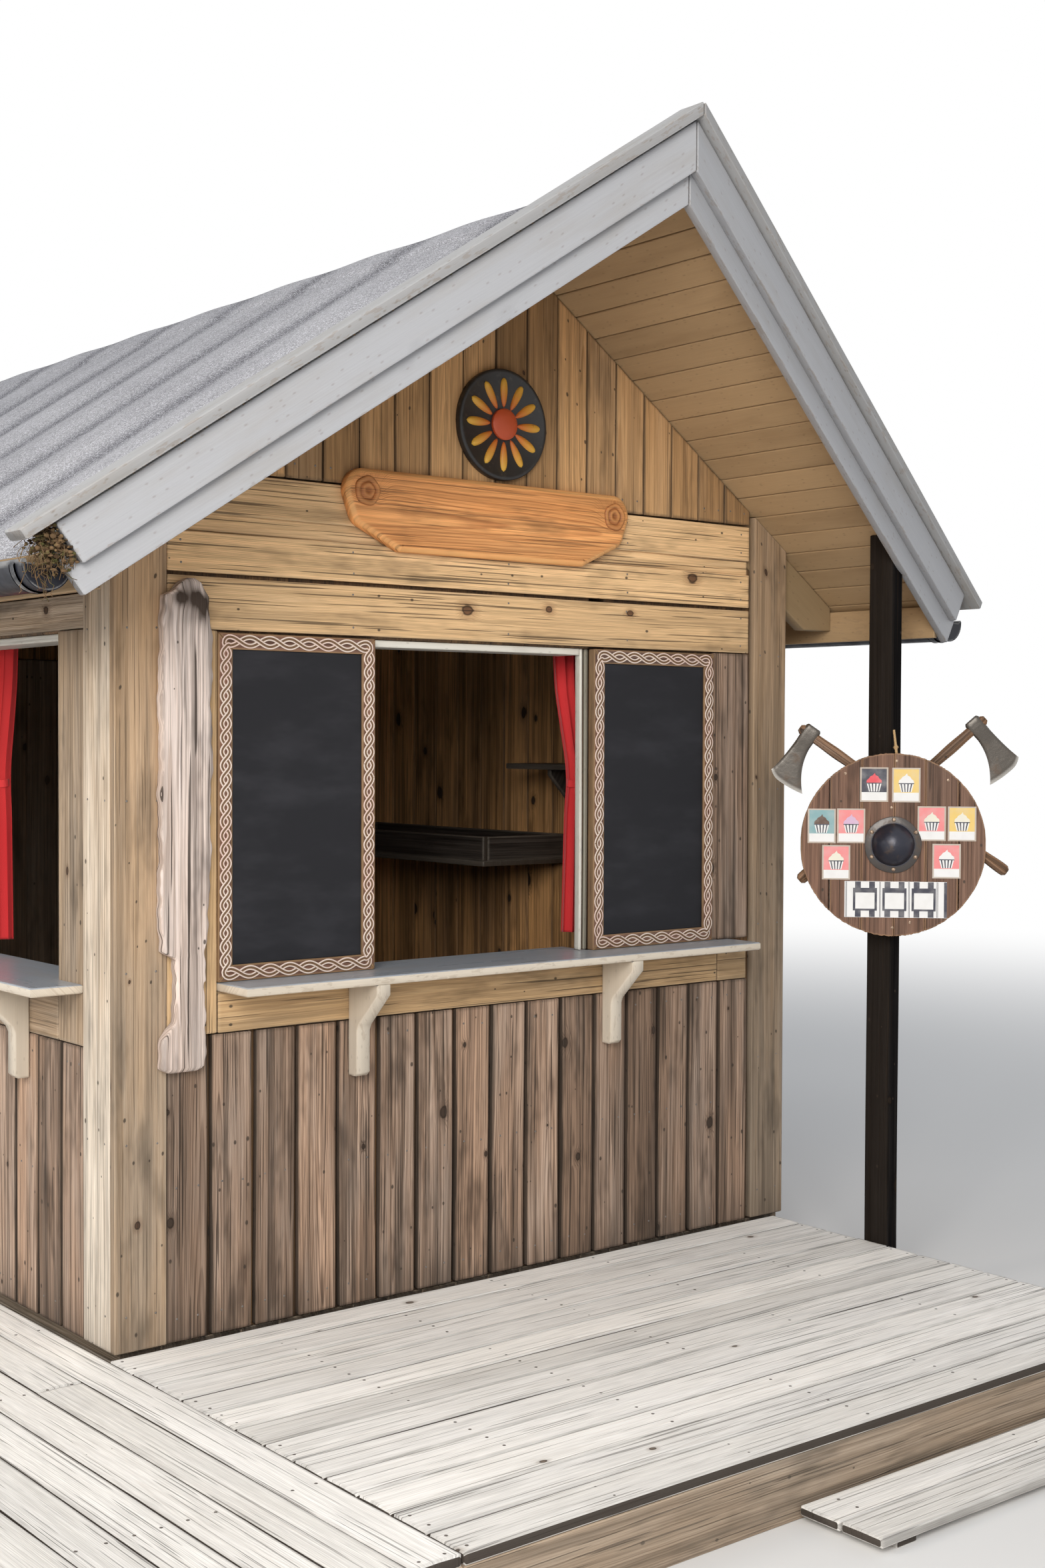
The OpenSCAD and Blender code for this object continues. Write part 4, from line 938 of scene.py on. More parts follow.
def slab(pile, side, outline, y0, y1, arris=0.002, turn=0.0, steps=None, seed=1, **look):
    """An outline in x and z, made solid from depth y0 to y1, with eased edges on both faces.
    turn is the direction of its grain in degrees, from x towards z."""
    outline = np.asarray(outline, float)
    steps = np.array(steps or [(y0, arris + 0.004, 0), (y0, arris, 1), (y0 + arris, 0, 1),
                               (y1 - arris, 0, 1), (y1, arris, 1), (y1, arris + 0.004, 0)])
    rings = [np.insert(shrink(outline, inset), 1, y, axis=1) for y, inset, _ in steps]
    random = np.random.default_rng(seed)
    look = {"shift": random.uniform(0, 40, 2), "tone": random.uniform(), **look}
    look = {"grain": (look["shift"][1] + random.normal(0.05, 0.05), 0.02, 0.01), **look}
    c, s = np.cos(np.radians(turn)), np.sin(np.radians(turn))

    def flat(q):
        return np.stack([q[..., 0] * c + q[..., 2] * s, q[..., 2] * c - q[..., 0] * s + q[..., 1]], -1)

    part = Pile()
    loft(part, rings, edge=steps[:, 2:], flat=flat, **look)
    pile.take(part, side)


def sweep(pile, path, profile, up, closed=False, **look):
    """Carries a profile (sideways, upwards) along a path, upright to the direction up."""
    path = np.asarray(path, float)
    ahead = np.roll(path, -1, 0) - np.roll(path, 1, 0) if closed else np.gradient(path, axis=0)
    sideways = unit(np.cross(ahead, up))
    upwards = unit(np.cross(sideways, ahead))
    profile = np.broadcast_to(profile, (len(path),) + np.shape(profile)[-2:])
    rings = path[:, None] + sideways[:, None] * profile[..., :1] + upwards[:, None] * profile[..., 1:]
    loft(pile, rings, closed, **look)


def circle(radius, count=24, start=0.0, stop=360.0):
    """Points on an arc, in two coordinates."""
    angle = np.radians(np.linspace(start, stop, count, endpoint=stop - start < 360))
    return radius * np.stack([np.cos(angle), np.sin(angle)], 1)


def domes(pile, centres, out, radius, height, spokes=8, tone=0.5):
    """Small domed heads, such as nails and screws, all of them at once."""
    centres, out, turn = np.atleast_2d(centres), np.asarray(out, float), circle(1.0, spokes)
    first = unit(np.cross(out, (0.31, 0.52, 0.79)))
    flat = turn[:, :1] * first + turn[:, 1:] * np.cross(out, first)
    shape = [(1.0, -0.4), (1.0, 0.35), (0.62, 0.9), (0.2, 1.0)]
    rings = np.stack([flat * radius * r + out * height * h for r, h in shape])
    whole, n, ring = len(shape) * spokes, len(centres), np.arange(spokes)
    start = whole * np.arange(n)[:, None, None]
    quads = (tube(len(shape), spokes)[:, [0, 3, 2, 1]] + start).reshape(-1, 4)
    pile.add(centres[:, None, None] + rings, quads, np.zeros((4 * len(quads), 2)), tone)
    caps = np.concatenate([start[:, 0] + ring[::-1], start[:, 0] + whole - spokes + ring]) - whole * n
    pile.add(np.empty((0, 3)), caps, np.zeros((2 * n * spokes, 2)), tone)


# %% [markdown]
# ## The roof's own frame
# On the roof, lengths are measured down the slope from the ridge and square to the soffit. Both
# slopes are alike, so a side of -1 or 1 says which one is meant.

# %% Slopes
def slope(side, s, n, y):
    """Point on a slope: s down the slope, n square to it, over the soffit."""
    out = s * np.cos(pitch) + n * np.sin(pitch)
    return row(mid_x + side * out, y, ridge_z - s * np.sin(pitch) + n * np.cos(pitch))


def prow_point(side, s, n, back):
    """The same on the prow line, at a depth behind it."""
    out = s * np.cos(pitch) + n * np.sin(pitch)
    return slope(side, s, n, -prow_reach + prow_rake * np.abs(out) + back)


def plumb(n, gap=0.0015):
    """Where a plumb cut at the ridge meets the height n: out = s cos p + n sin p = gap."""
    return (gap - n * np.sin(pitch)) / np.cos(pitch)


eave_reach, slope_len = 0.33, (mid_x + 0.33) / np.cos(pitch)
roof_end = roof_y1 - roof_y0
rafter_y = board_t + np.arange(7) * (hut_d - 2 * board_t - 0.045) / 6
print("slope", round(slope_len, 3), "m, roof from", -prow_reach, "to", round(roof_y1, 3))

# %% [markdown]
# ## Roof boards
# Seen from below, the roof is narrow painted boards that run from gable to gable. Their front ends
# follow the prow line, and each course has a butt joint over some rafter.

# %% Roof boards
for side, name in ((-1, "left"), (1, "right")):
    pile = Pile()
    start, stop = set_out(0.0, slope_len, 0.098, 0.003)
    butt = np.random.default_rng(80 + side).choice(rafter_y[1:6] + 0.0225, len(start))
    up = slope(side, 0, sarking_t, 0) - slope(side, 0, 0, 0)
    for at, y0, y1, seed in ((prow_point, roof_y0, butt - HAIR, 81), (slope, butt + HAIR, roof_end, 85)):
        boards(pile, at(side, start, 0, y0), slope(side, start, 0, y1), at(side, stop, 0, y0),
               slope(side, stop, 0, y1), up, arris=0.003, wander=0.0003, seed=seed + side)
    piece("soffit_boards_" + name, pile, beige_paint, "beige_paint", "roof_boards_" + name)

# %% [markdown]
# ## Rafters
# The rafters are planks on edge. Their tails have a plumb cut behind the fascia and a level cut
# below, and a notch sits over the wall's top plate.

# %% Rafters and blocks
fascia_x, fascia_t, notch_x, top_x = hut_w + 0.258, 0.022, hut_w - board_t, mid_x + 0.0015
fascia_z, tail_z = soffit(fascia_x) - 0.12, soffit(fascia_x) - 0.081
tail_x, seat_x = mid_x + (ridge_z - rafter_drop - np.array([tail_z, plate_z])) / np.tan(pitch)
rafter_outline = np.array([
    (top_x, soffit(top_x) - 0.001), (fascia_x, soffit(fascia_x) - 0.001), (fascia_x, tail_z),
    (tail_x, tail_z), (notch_x, below(notch_x)), (notch_x, plate_z + 0.001), (seat_x, plate_z + 0.001),
    (top_x, below(top_x))])
pile = Pile()
for i, y in enumerate(rafter_y):
    slab(pile, on_front, rafter_outline, y, y + 0.045, turn=-35, seed=90 + i)
    slab(pile, on_front, rafter_outline * (-1, 1) + (hut_w, 0), y, y + 0.045, turn=35, seed=100 + i)
# The rafters take the darker beige, which is painted shade.
piece("rafter_planks", pile, beige_paint_in_painted_shade, "beige_paint", "rafters")
pile = Pile()
for carry in (on_left, on_right):
    lying(pile, carry, rafter_y[:-1] + 0.0455, rafter_y[1:] - HAIR, plate_z + 0.001, soffit(board_t) - 0.002,
          face=board_t, t=0.034, seed=110)
piece("eave_blocks", pile, lining, "wall_frame", "eave_blocking")

# %% Fascias
pile = Pile()
face_x, split = fascia_x + fascia_t, 1.55
for y0, y1, rake, seed in ((prow(face_x) + roof_y0, split - HAIR, prow_rake * fascia_t, 111),
                           (split + HAIR, roof_end, 0.0, 113)):
    for side, x in ((1, face_x), (-1, hut_w - face_x)):
        foot, top = fascia_z, soffit(face_x) - 0.001
        boards(pile, (x, y0, foot), (x, y1, foot), (x, y0, top), (x, y1, top),
               (-side * fascia_t, -rake, 0), (-side * fascia_t, 0, 0), seed=seed + side)
piece("eave_fascia_boards", pile, beige_paint, "beige_paint", "eave_fascias")

# %% [markdown]
# ## Barge boards
# Two boards and a cap follow the prow down each side of the gable. They meet in plumb cuts at the
# peak. The outer one hides the ends of the roof boards, the inner one hangs lower and throws the
# shadow line between them, and the cap keeps rain off both.

# %% Barge boards and caps
outer_len, cap_n, cap_t, cap_nose = (mid_x + 0.331) / np.cos(pitch), 0.114 - 0.017, 0.03, 0.028


def barge_board(pile, at, side, n0, n1, length, y, t, seed):
    """A board down one slope, from height n0 to n1 over the soffit; at is slope or prow_point."""
    boards(pile, at(side, plumb(n0), n0, y), at(side, length, n0, y), at(side, plumb(n1), n1, y),
           at(side, length, n1, y), (0, t, 0), arris=0.003, seed=seed)


def barge_cap(pile, at, side, front, rear, seed):
    """The cap over them, with its face up."""
    top, under, length = cap_n + cap_t, cap_n + HAIR, outer_len + 0.085
    start, stop = at(side, plumb(top), top, front), at(side, length, top, front)
    boards(pile, start, stop, at(side, plumb(top), top, rear), at(side, length, top, rear),
           at(side, plumb(under), under, front) - start, at(side, length, under, front) - stop,
           arris=0.004, seed=seed)


for name, n0, n1, length, y, t in (
        ("outer", -0.017, cap_n - 0.006, outer_len, 0.0, barge_t),
        ("inner", -0.084, 0.061, outer_len + 0.029, barge_t + HAIR, barge_t - HAIR)):
    pile = Pile()
    for side in (-1, 1):
        barge_board(pile, prow_point, side, n0, n1, length, y, t, 120 + side)
    piece("painted_barge_" + name, pile, grey_paint, "grey_paint", "barge_boards_" + name)
pile = Pile()
for side in (-1, 1):
    barge_cap(pile, prow_point, side, -cap_nose, barge_t + 0.034, 130 + side)
piece("painted_caps", pile, cap_paint, "grey_paint", "barge_caps")
pile = Pile()
for side in (-1, 1):
    barge_board(pile, slope, side, -0.017, cap_n, outer_len, roof_y1, -barge_t, 140 + side)
    barge_board(pile, slope, side, -0.084, 0.061, outer_len + 0.029, roof_y1 - barge_t - HAIR,
                HAIR - barge_t, 143 + side)
    barge_cap(pile, slope, side, roof_y1 + cap_nose, roof_y1 - 2 * barge_t, 146 + side)
piece("rear_painted_barge", pile, grey_paint, "grey_paint", "rear_barge_boards")

# %% [markdown]
# ## Felt
# The felt was laid over old battens and has settled into soft waves that run from ridge to eave.
# A strip is bonded over the ridge. The sheet is one closed loft: each ring is a vertical cut
# through it at one distance from the ridge, along the top to the rear and back underneath.

# %% Roofing felt
felt_t, wave_h, wave_pitch = 0.005, 0.018, 0.52


def crest(y, out):
    """How far up a wave a point lies, from 0 in a trough to 1: a cosine along the roof."""
    return 0.5 - 0.5 * np.cos(2 * np.pi * (y + 0.15 + 0.015 * np.sin(2.7 * out + y)) / wave_pitch)


def wave(y, out):
    """Thickness of the felt. Waves are uneven down the slope and die out towards the ridge."""
    uneven = 0.85 + 0.15 * np.sin(2.1 * y + 1.7 * out + 1.0) * np.cos(3.3 * out - 0.7 * y)
    near_ridge = 0.25 + 0.75 * np.clip(np.abs(out) / 0.5, 0, 1) ** 2
    return felt_t + wave_h * uneven * near_ridge * crest(y, out)


down = np.linspace(0.16, mid_x + 0.342, 34)
out = np.concatenate([-down[::-1], np.linspace(-0.15, 0.15, 25), down])[:, None]
ahead_y = prow(mid_x + out) + roof_y0
run = ahead_y + (roof_end - ahead_y) * np.linspace(0, 1, 260)
strip = 0.009 * np.clip((0.135 - np.abs(out)) / 0.006, 0, 1) ** 0.5
over = (ridge_z - np.tan(pitch) * np.sqrt(out ** 2 + 0.01 ** 2)
        + (sarking_t + wave(run, out)) / np.cos(pitch) + strip)
under = ridge_z - np.tan(pitch) * np.abs(out) + (sarking_t + 0.0006) / np.cos(pitch) + 0 * run
rings = np.concatenate([row(mid_x + out, run, over), row(mid_x + out, run, under)[:, ::-1]], 1)
trough = np.concatenate([(1 - crest(run, out)) ** 5, 0 * run], 1)
pile = Pile()
loft(pile, rings, edge=trough, flat=lambda q: q[..., [1, 0]])
f = Finish("felt")
grit = f.noise(f.place(), 520.0, roughness=0.7)
sparkle = f.node("TexVoronoi", named={"Vector": f.place(), "Scale": 360.0})
grain_value = f.parts(sparkle.outputs["Color"])[0]
cloud = f.noise(f.place(), 2.2, detail=4.0, roughness=0.6)
run_off = f.noise(f.stretched((2.0, 26.0, 2.0)), detail=3.0)
colour = f.mix(f.ramp(cloud, 0.35, 0.7), (0.36, 0.355, 0.375), (0.47, 0.465, 0.485))
colour = f.mix(f.times(f.ramp(run_off, 0.5, 0.72), 0.35), colour, (0.3, 0.29, 0.295))
# The troughs of the waves are darker: dirt that gathers there, and painted shade.
colour = f.mix(f.times(f.value("edge"), 0.8), colour, (0.085, 0.085, 0.098))
colour = f.mix(f.times(f.above(grain_value, 0.68), 0.45), colour, (0.13, 0.128, 0.145))
colour = f.mix(f.times(f.math("LESS_THAN", grain_value, 0.24), 0.6), colour, (0.82, 0.82, 0.87))
felt_finish = f.finish(colour, 0.9, f.scaled(sparkle.outputs["Distance"], -0.8, grit), 0.0012,
                       specular_ior_level=0.3)
piece("roofing_felt", pile, felt_finish, "felt", "roof_felt", sharp=40)

# %% [markdown]
# ## Gutters
# Thin half-round gutters with a rolled bead on the outer lip hang in straps from the fascia. Dirt
# and old leaves lie in them and on the lowest end of the left cap.

# %% Gutters
gutter_x, gutter_z, gutter_r = hut_w + 0.378, soffit(hut_w + eave_reach) - 0.014, 0.0625
gutter_y0, gutter_y1 = -0.4, roof_end - 0.02
bead = circle(0.0065, 10, 0, 250) + (gutter_r - 0.0065, 0.003)
shell = np.concatenate([circle(gutter_r, 22, 180, 360), bead, circle(gutter_r - 0.0025, 22, 358, 180)])
strap = np.concatenate([circle(gutter_r + 0.0035, 22, 180, 360), circle(gutter_r - 0.0002, 22, 360, 180)])
plug = circle(gutter_r - 0.001, 26, 180, 360)
arm = np.array([(fascia_x + fascia_t, gutter_z + 0.021), (gutter_x - gutter_r - 0.001, gutter_z + 0.003)])
lip = (np.abs(shell[:, 1] - 0.004) < 0.008) & (shell[:, 0] > 0)
ys, half_strap = np.linspace(gutter_y0, gutter_y1, 30)[:, None], np.array([0, 0.0125, 0])
pile = Pile()
for side in (-1, 1):
    centre = (mid_x + side * (gutter_x - mid_x), gutter_z)
    ring = shell * (side, 1) + centre
    loft(pile, row(ring[:, 0], ys, ring[:, 1] + 0.0012 * np.sin(1.9 * ys)), edge=lip * 0.8)
    for y in (gutter_y0, gutter_y1 - 0.003):
        slab(pile, on_front, plug * (side, 1) + centre, y, y + 0.003, arris=0.001)
    for y in gutter_y0 + 0.047 + np.arange(6) * (gutter_y1 - gutter_y0 - 0.16) / 5:
        slab(pile, on_front, strap * (side, 1) + centre, y - 0.0125, y + 0.0125, arris=0.0008)
        a, b = row(arm[:, 0] if side > 0 else hut_w - arm[:, 0], y, arm[:, 1])
        boards(pile, a - half_strap, b - half_strap, a + half_strap, b + half_strap, (0, 0, -0.004),
               arris=0.0008, cup=0, wander=0)
f = Finish("gutter_metal")
dust = f.noise(f.place(), 14.0, detail=5.0, roughness=0.65)
colour = f.mix(f.ramp(dust, 0.48, 0.75), (0.01, 0.011, 0.018), (0.03, 0.029, 0.032))
colour = f.mix(f.times(f.value("edge"), f.ramp(dust, 0.35, 0.6)), colour, (0.24, 0.24, 0.24))
gutter_finish = f.finish(colour, f.ramp(dust, 0.4, 0.7, 0.34, 0.6), specular_ior_level=0.35)
piece("half_round_gutters", pile, gutter_finish, "gutter", "gutters", sharp=40)

# %% Leaf debris
def crumbs(pile, centres, sizes, seed=1):
    """Irregular lumps: domes both ways, with every vertex pushed about."""
    random = np.random.default_rng(seed)
    angle, height = circle(1.0, 7), np.array([-0.95, -0.45, 0.3, 0.9])[:, None]
    wide = np.sqrt(1 - height ** 2)
    for centre, radius in zip(centres, sizes):
        rings = row(angle[:, 0] * wide, angle[:, 1] * wide, height * 0.6)
        rings = rings * random.uniform(0.6, 1.5, 3) + random.normal(0, 0.13, rings.shape)
        loft(pile, centre + radius * rings, tone=random.uniform(), shift=random.uniform(0, 9, 2))


random = np.random.default_rng(160)
pile, n = Pile(), 320
nest_s, nest_n = outer_len + random.beta(1.2, 2.0, n) * 0.075, cap_n - random.beta(1.1, 1.5, n) * 0.115
nest = prow_point(-1, nest_s, nest_n, random.uniform(0.002, 0.055, n))
crumbs(pile, nest, random.uniform(0.003, 0.008, n), 161)
for i in range(70):
    at = outer_len + random.uniform(0.0, 0.08), cap_n - random.uniform(0.0, 0.085), random.uniform(0.0, 0.05)
    drop = np.cumsum(random.normal((0, 0, -0.007), 0.007, (7, 3)), 0)
    sweep(pile, prow_point(-1, *at) + drop, circle(random.uniform(0.0005, 0.001), 5), (0.3, 1.0, 0.1),
          tone=random.uniform(0.4, 1.0))
n = 120
along_cap = random.uniform(0.05, outer_len, n)
crumbs(pile, prow_point(-1, along_cap, cap_n - 0.002, random.uniform(-0.006, 0.0, n)),
       random.uniform(0.0015, 0.004, n), 162)
n = 110
for side in (-1, 1):
    x = mid_x + side * (gutter_x - mid_x) + random.uniform(-0.035, 0.035, n)
    y = gutter_y0 + 0.02 + random.beta(0.7, 2.0, n) * 1.6
    z = gutter_z - 0.045 + random.uniform(0, 0.016, n)
    crumbs(pile, row(x, y, z), random.uniform(0.004, 0.01, n), 163 + side)
f = Finish("leaf_debris")
colour = f.mix(f.value("tone"), (0.045, 0.026, 0.014), (0.2, 0.125, 0.065))
colour = f.mix(f.ramp(f.noise(f.place(), 60.0, detail=3.0), 0.5, 0.7), colour, (0.09, 0.085, 0.03))
piece("leaf_debris", pile, f.finish(colour, 0.95, specular_ior_level=0.2), "felt", sharp=180)

# %% [markdown]
# ## Counters and brackets
# The counter is painted blue grey on top and beige on its edge, and runs through the hatch to the
# inside. Its brackets are cut from one thick board: an upright leg, a slope and a level arm.

# %% Counters
def flatwise(p):
    """Lays a shape in x and z down flat."""
    return p[..., [0, 2, 1]]


def flatwise_left(p):
    return on_left(flatwise(p))


def flatwise_up(p):
    """Turns a shape in x and z so that x points into the wall."""
    return p[..., [1, 0, 2]]


reach_y, inside_y = -0.15, wall_in + 0.012
front_plan = [(counter_x0, reach_y), (counter_x1, reach_y), (counter_x1, -HAIR), (narrow_x, -HAIR),
              (narrow_x, board_t), (hatch_x1, board_t), (hatch_x1, inside_y), (hatch_x0, inside_y),
              (hatch_x0, board_t), (counter_x0, board_t)]
left, right = side_y0 - jamb_w, side_y1 + jamb_w
side_plan = [(left, reach_y), (right, reach_y), (right, -HAIR), (side_y1, -HAIR), (side_y1, inside_y),
             (side_y0, inside_y), (side_y0, -HAIR), (left, -HAIR)]
for name, carry, plan, seed in (("front", flatwise, front_plan, 170),
                                ("side", flatwise_left, side_plan, 171)):
    pile = Pile()
    slab(pile, carry, plan, sill, counter_z, arris=0.004, seed=seed)
    piece(name + "_counter_board", pile, counter_paint, "counter_top", name + "_counter")

# %% Brackets
leg, arm, bracket_h, bracket_w, top = 0.045, 0.1, 0.268, 0.045, sill - HAIR
foot = top - bracket_h
bracket = [(0, top), (-arm - leg, top), (-arm - leg, top - 0.03), (-leg - 0.008, top - 0.022 - arm),
           (-leg, top - 0.04 - arm), (-leg, foot + 0.012), (-leg + 0.012, foot), (0, foot)]
pile = Pile()
for carry, places in ((on_front, (0.748, 1.705)), (on_left, (0.531, 1.02))):
    for i, place in enumerate(places):
        part = Pile()
        slab(part, flatwise_up, bracket, -bracket_w / 2, bracket_w / 2, arris=0.003, turn=90, seed=175 + i)
        part.points = [np.concatenate(part.points) + (place, -HAIR, 0)]
        pile.take(part, carry)
piece("counter_bracket_boards", pile, counter_paint, "counter_top", "counter_brackets")

# %% [markdown]
# ## Chalkboards with a braid
# Two panels flank the hatch. Each has a brown frame with a traditional two-strand braid. The braid
# is real relief: each strand swings from side to side on a sine, and rises and falls on a cosine,
# so that it goes over the other strand at one crossing and under it at the next.

# %% Chalkboards
chalk_t, rim, chalk_z0, chalk_z1 = 0.028, 0.044, counter_z + 0.001, jamb_top - 0.008
chalk_face = board_t - chalk_t


def rectangle(x0, x1, z0, z1, inset=0.0):
    """Corners of a rectangle, moved inwards by inset."""
    x0, x1, z0, z1 = x0 + inset, x1 - inset, z0 + inset, z1 - inset
    return [(x0, z0), (x1, z0), (x1, z1), (x0, z1)]


def rounded(corners, radius, count):
    """Points at equal steps round a rectangle with rounded corners, from the centres of those."""
    loop = np.concatenate([circle(radius, 12, 90 * i, 90 * i + 90) + corner
                           for i, corner in enumerate(np.roll(corners, 2, 0))])
    loop = np.vstack([loop, loop[:1]])
    gone = np.r_[0, np.cumsum(size(np.diff(loop, axis=0)))]
    at = np.linspace(0, gone[-1], count, endpoint=False)
    return np.stack([np.interp(at, gone, part) for part in loop.T], 1)


def braid(pile, x0, x1, z0, z1, twist):
    """Two strands round the middle of a frame.
    Sideways = A sin t, upwards = h cos t, with one turn of t for each twist."""
    length = 2 * (x1 - x0 + z1 - z0 - 2 * rim)
    count = round(length / 0.0042)
    path = rounded(rectangle(x0, x1, z0, z1, rim / 2 + 0.012), 0.012, count)
    ahead = np.roll(path, -1, 0) - np.roll(path, 1, 0)
    normal = unit(np.stack([ahead[:, 1], -ahead[:, 0]], 1))
    turn = np.cumsum(np.where(np.abs(normal[:, 1]) > 0.7, 1 / 0.128, 1 / twist))
    turn = 2 * np.pi * turn / turn[-1] * round(turn[-1] * length / count)
    ribbon = np.array([(-0.0068, -0.0012, 0.3), (-0.0068, 0.0006, 1), (-0.005984, 0.0013, 1),
                       (-0.003536, 0.0013, 1), (-0.002448, 0.0002, 0)])
    ribbon = np.vstack([ribbon, ribbon[::-1] * (-1, 1, 1)])
    for way in (1, -1):
        flat = path + normal * (way * 0.0118 * np.sin(turn))[:, None]
        lift = chalk_face - 0.0012 - way * 0.0009 * np.cos(turn)
        strand = row(flat[:, 0], lift, flat[:, 1])
        sweep(pile, strand, ribbon[:, :2], (0, -1, 0), closed=True, edge=ribbon[:, 2])


def mitred(pile, x0, x1, z0, z1, seed):
    """Four boards round a rectangle, cut at 45 degrees where they meet."""
    outer, inner = (np.insert(rectangle(x0, x1, z0, z1, by), 1, chalk_face, axis=1) for by in (0, rim))
    for i, j in ((0, 1), (1, 2), (2, 3), (3, 0)):
        boards(pile, outer[i], outer[j], inner[i], inner[j], (0, chalk_t - HAIR, 0), arris=0.002, cup=0,
               wander=0.0002, seed=seed + i)


brown = bare_wood("frame_brown", (0.185, 0.095, 0.062), (0.12, 0.055, 0.036), KNOT, (0.17, 0.11, 0.085),
                  greyness=0.25, streaks=0.6, stains=0.3, lines=0.3, roughness=(0.4, 0.5), knots=0.0, pins=0,
                  edge_wear_and_shade=0.9, edge_colour=(0.42, 0.27, 0.13))
f = Finish("braid_paint")
wear = f.noise(f.place(), 55.0, detail=4.0, roughness=0.7)
cream = f.mix(f.ramp(f.noise(f.place(), 9.0), 0.4, 0.65), (0.74, 0.62, 0.54), (0.72, 0.54, 0.47))
cover = f.times(f.ramp(f.value("edge"), 0.35, 0.65), f.ramp(wear, 0.26, 0.36))
braid_paint = f.finish(f.mix(cover, (0.15, 0.08, 0.036), cream), 0.55)
f = Finish("chalkboard_black")
dusty = f.ramp(f.noise(f.stretched((3.0, 3.0, 9.0)), detail=4.0, roughness=0.6), 0.45, 0.75)
chalk_black = f.finish(f.mix(f.times(dusty, 0.4), (0.012, 0.012, 0.015), (0.05, 0.05, 0.058)),
                       f.scaled(dusty, 0.2, 0.55), specular_ior_level=0.25)
panels, surrounds, braids = Pile(), Pile(), Pile()
for x0, x1, seed, twist in ((chalk_x0, hatch_x0, 180, 0.076), (hatch_x1, chalk_x1, 190, 0.092)):
    mitred(surrounds, x0, x1, chalk_z0, chalk_z1, seed)
    hole = rectangle(x0, x1, chalk_z0, chalk_z1, rim - 0.001)
    slab(panels, on_front, hole, chalk_face + 0.006, board_t - HAIR, arris=HAIR)
    braid(braids, x0, x1, chalk_z0, chalk_z1, twist)
piece("chalkboard_panels", panels, chalk_black, "chalkboard", "chalkboards")
piece("chalkboard_frames", surrounds, brown, "chalkboard")
piece("chalkboard_braids", braids, braid_paint, "chalkboard", sharp=60)

# %% [markdown]
# ## Hatch frames, curtains and shelves
# The openings are lined with white boards. On the right of the front hatch is a double track. A
# red curtain hangs inside each opening, tied in at its waist. Its folds keep the length of the
# cloth: where it is tied in, the same cloth makes steeper folds.

# %% Hatch frames
depth_y, track = board_t + HAIR, hatch_x1 - 0.034
tall, head = (counter_z + 0.001, hatch_z1 - 0.001), (hatch_z1 - 0.021, hatch_z1 - 0.001)
pile = Pile()
upright(pile, on_front, hatch_x0 + HAIR, hatch_x0 + 0.01, *tall, face=depth_y, t=0.1085, seed=200)
upright(pile, on_front, track, track + 0.01, *tall, face=depth_y, t=0.024, seed=201)
lying(pile, on_front, hatch_x0 + 0.0105, track - HAIR, *head, face=depth_y, t=0.1085, seed=202)
upright(pile, on_left, (side_y0 + HAIR, side_y1 - 0.01), (side_y0 + 0.01, side_y1 - HAIR), *tall,
        face=depth_y, t=0.1085, seed=203)
lying(pile, on_left, side_y0 + 0.0105, side_y1 - 0.0105, *head, face=depth_y, t=0.1085, seed=204)
piece("hatch_frame_boards", pile, white_paint, "white_paint", "hatch_frames")
# The track's two lanes are white boards in painted shade.
pile = Pile()
lane = track + np.array([0.0102, 0.0206])
upright(pile, on_front, lane, (lane[1] - 0.0002, hatch_x1 - HAIR), *tall,
        face=(depth_y + 0.012, depth_y + 0.002), t=0.01, seed=205)
piece("sliding_track", pile, white_paint_in_painted_shade, "white_paint")

# %% Curtains
cloth_w, cloth_top, cloth_waist, cloth_foot = 0.6, hatch_z1 + 0.032, 1.475, counter_z + 0.043
folds, deep = 7, 0.0445
levels = [cloth_foot, *(cloth_waist + np.array([-0.09, 0, 0.07, 0.17, 0.3])), cloth_top]
steep, turns = np.linspace(0, 12, 400), np.linspace(0, 2 * np.pi, 200, endpoint=False)
stretch = np.sqrt(1 + (steep[:, None] * np.cos(turns)) ** 2).mean(1)


def border(z, places):
    """One edge of the cloth, from its places at the levels, smoothed over nine rows."""
    padded = np.pad(np.interp(z[:, 0], levels, places), 4, mode="edge")
    return np.convolve(padded, np.full(9, 1 / 9), "valid")[:, None]


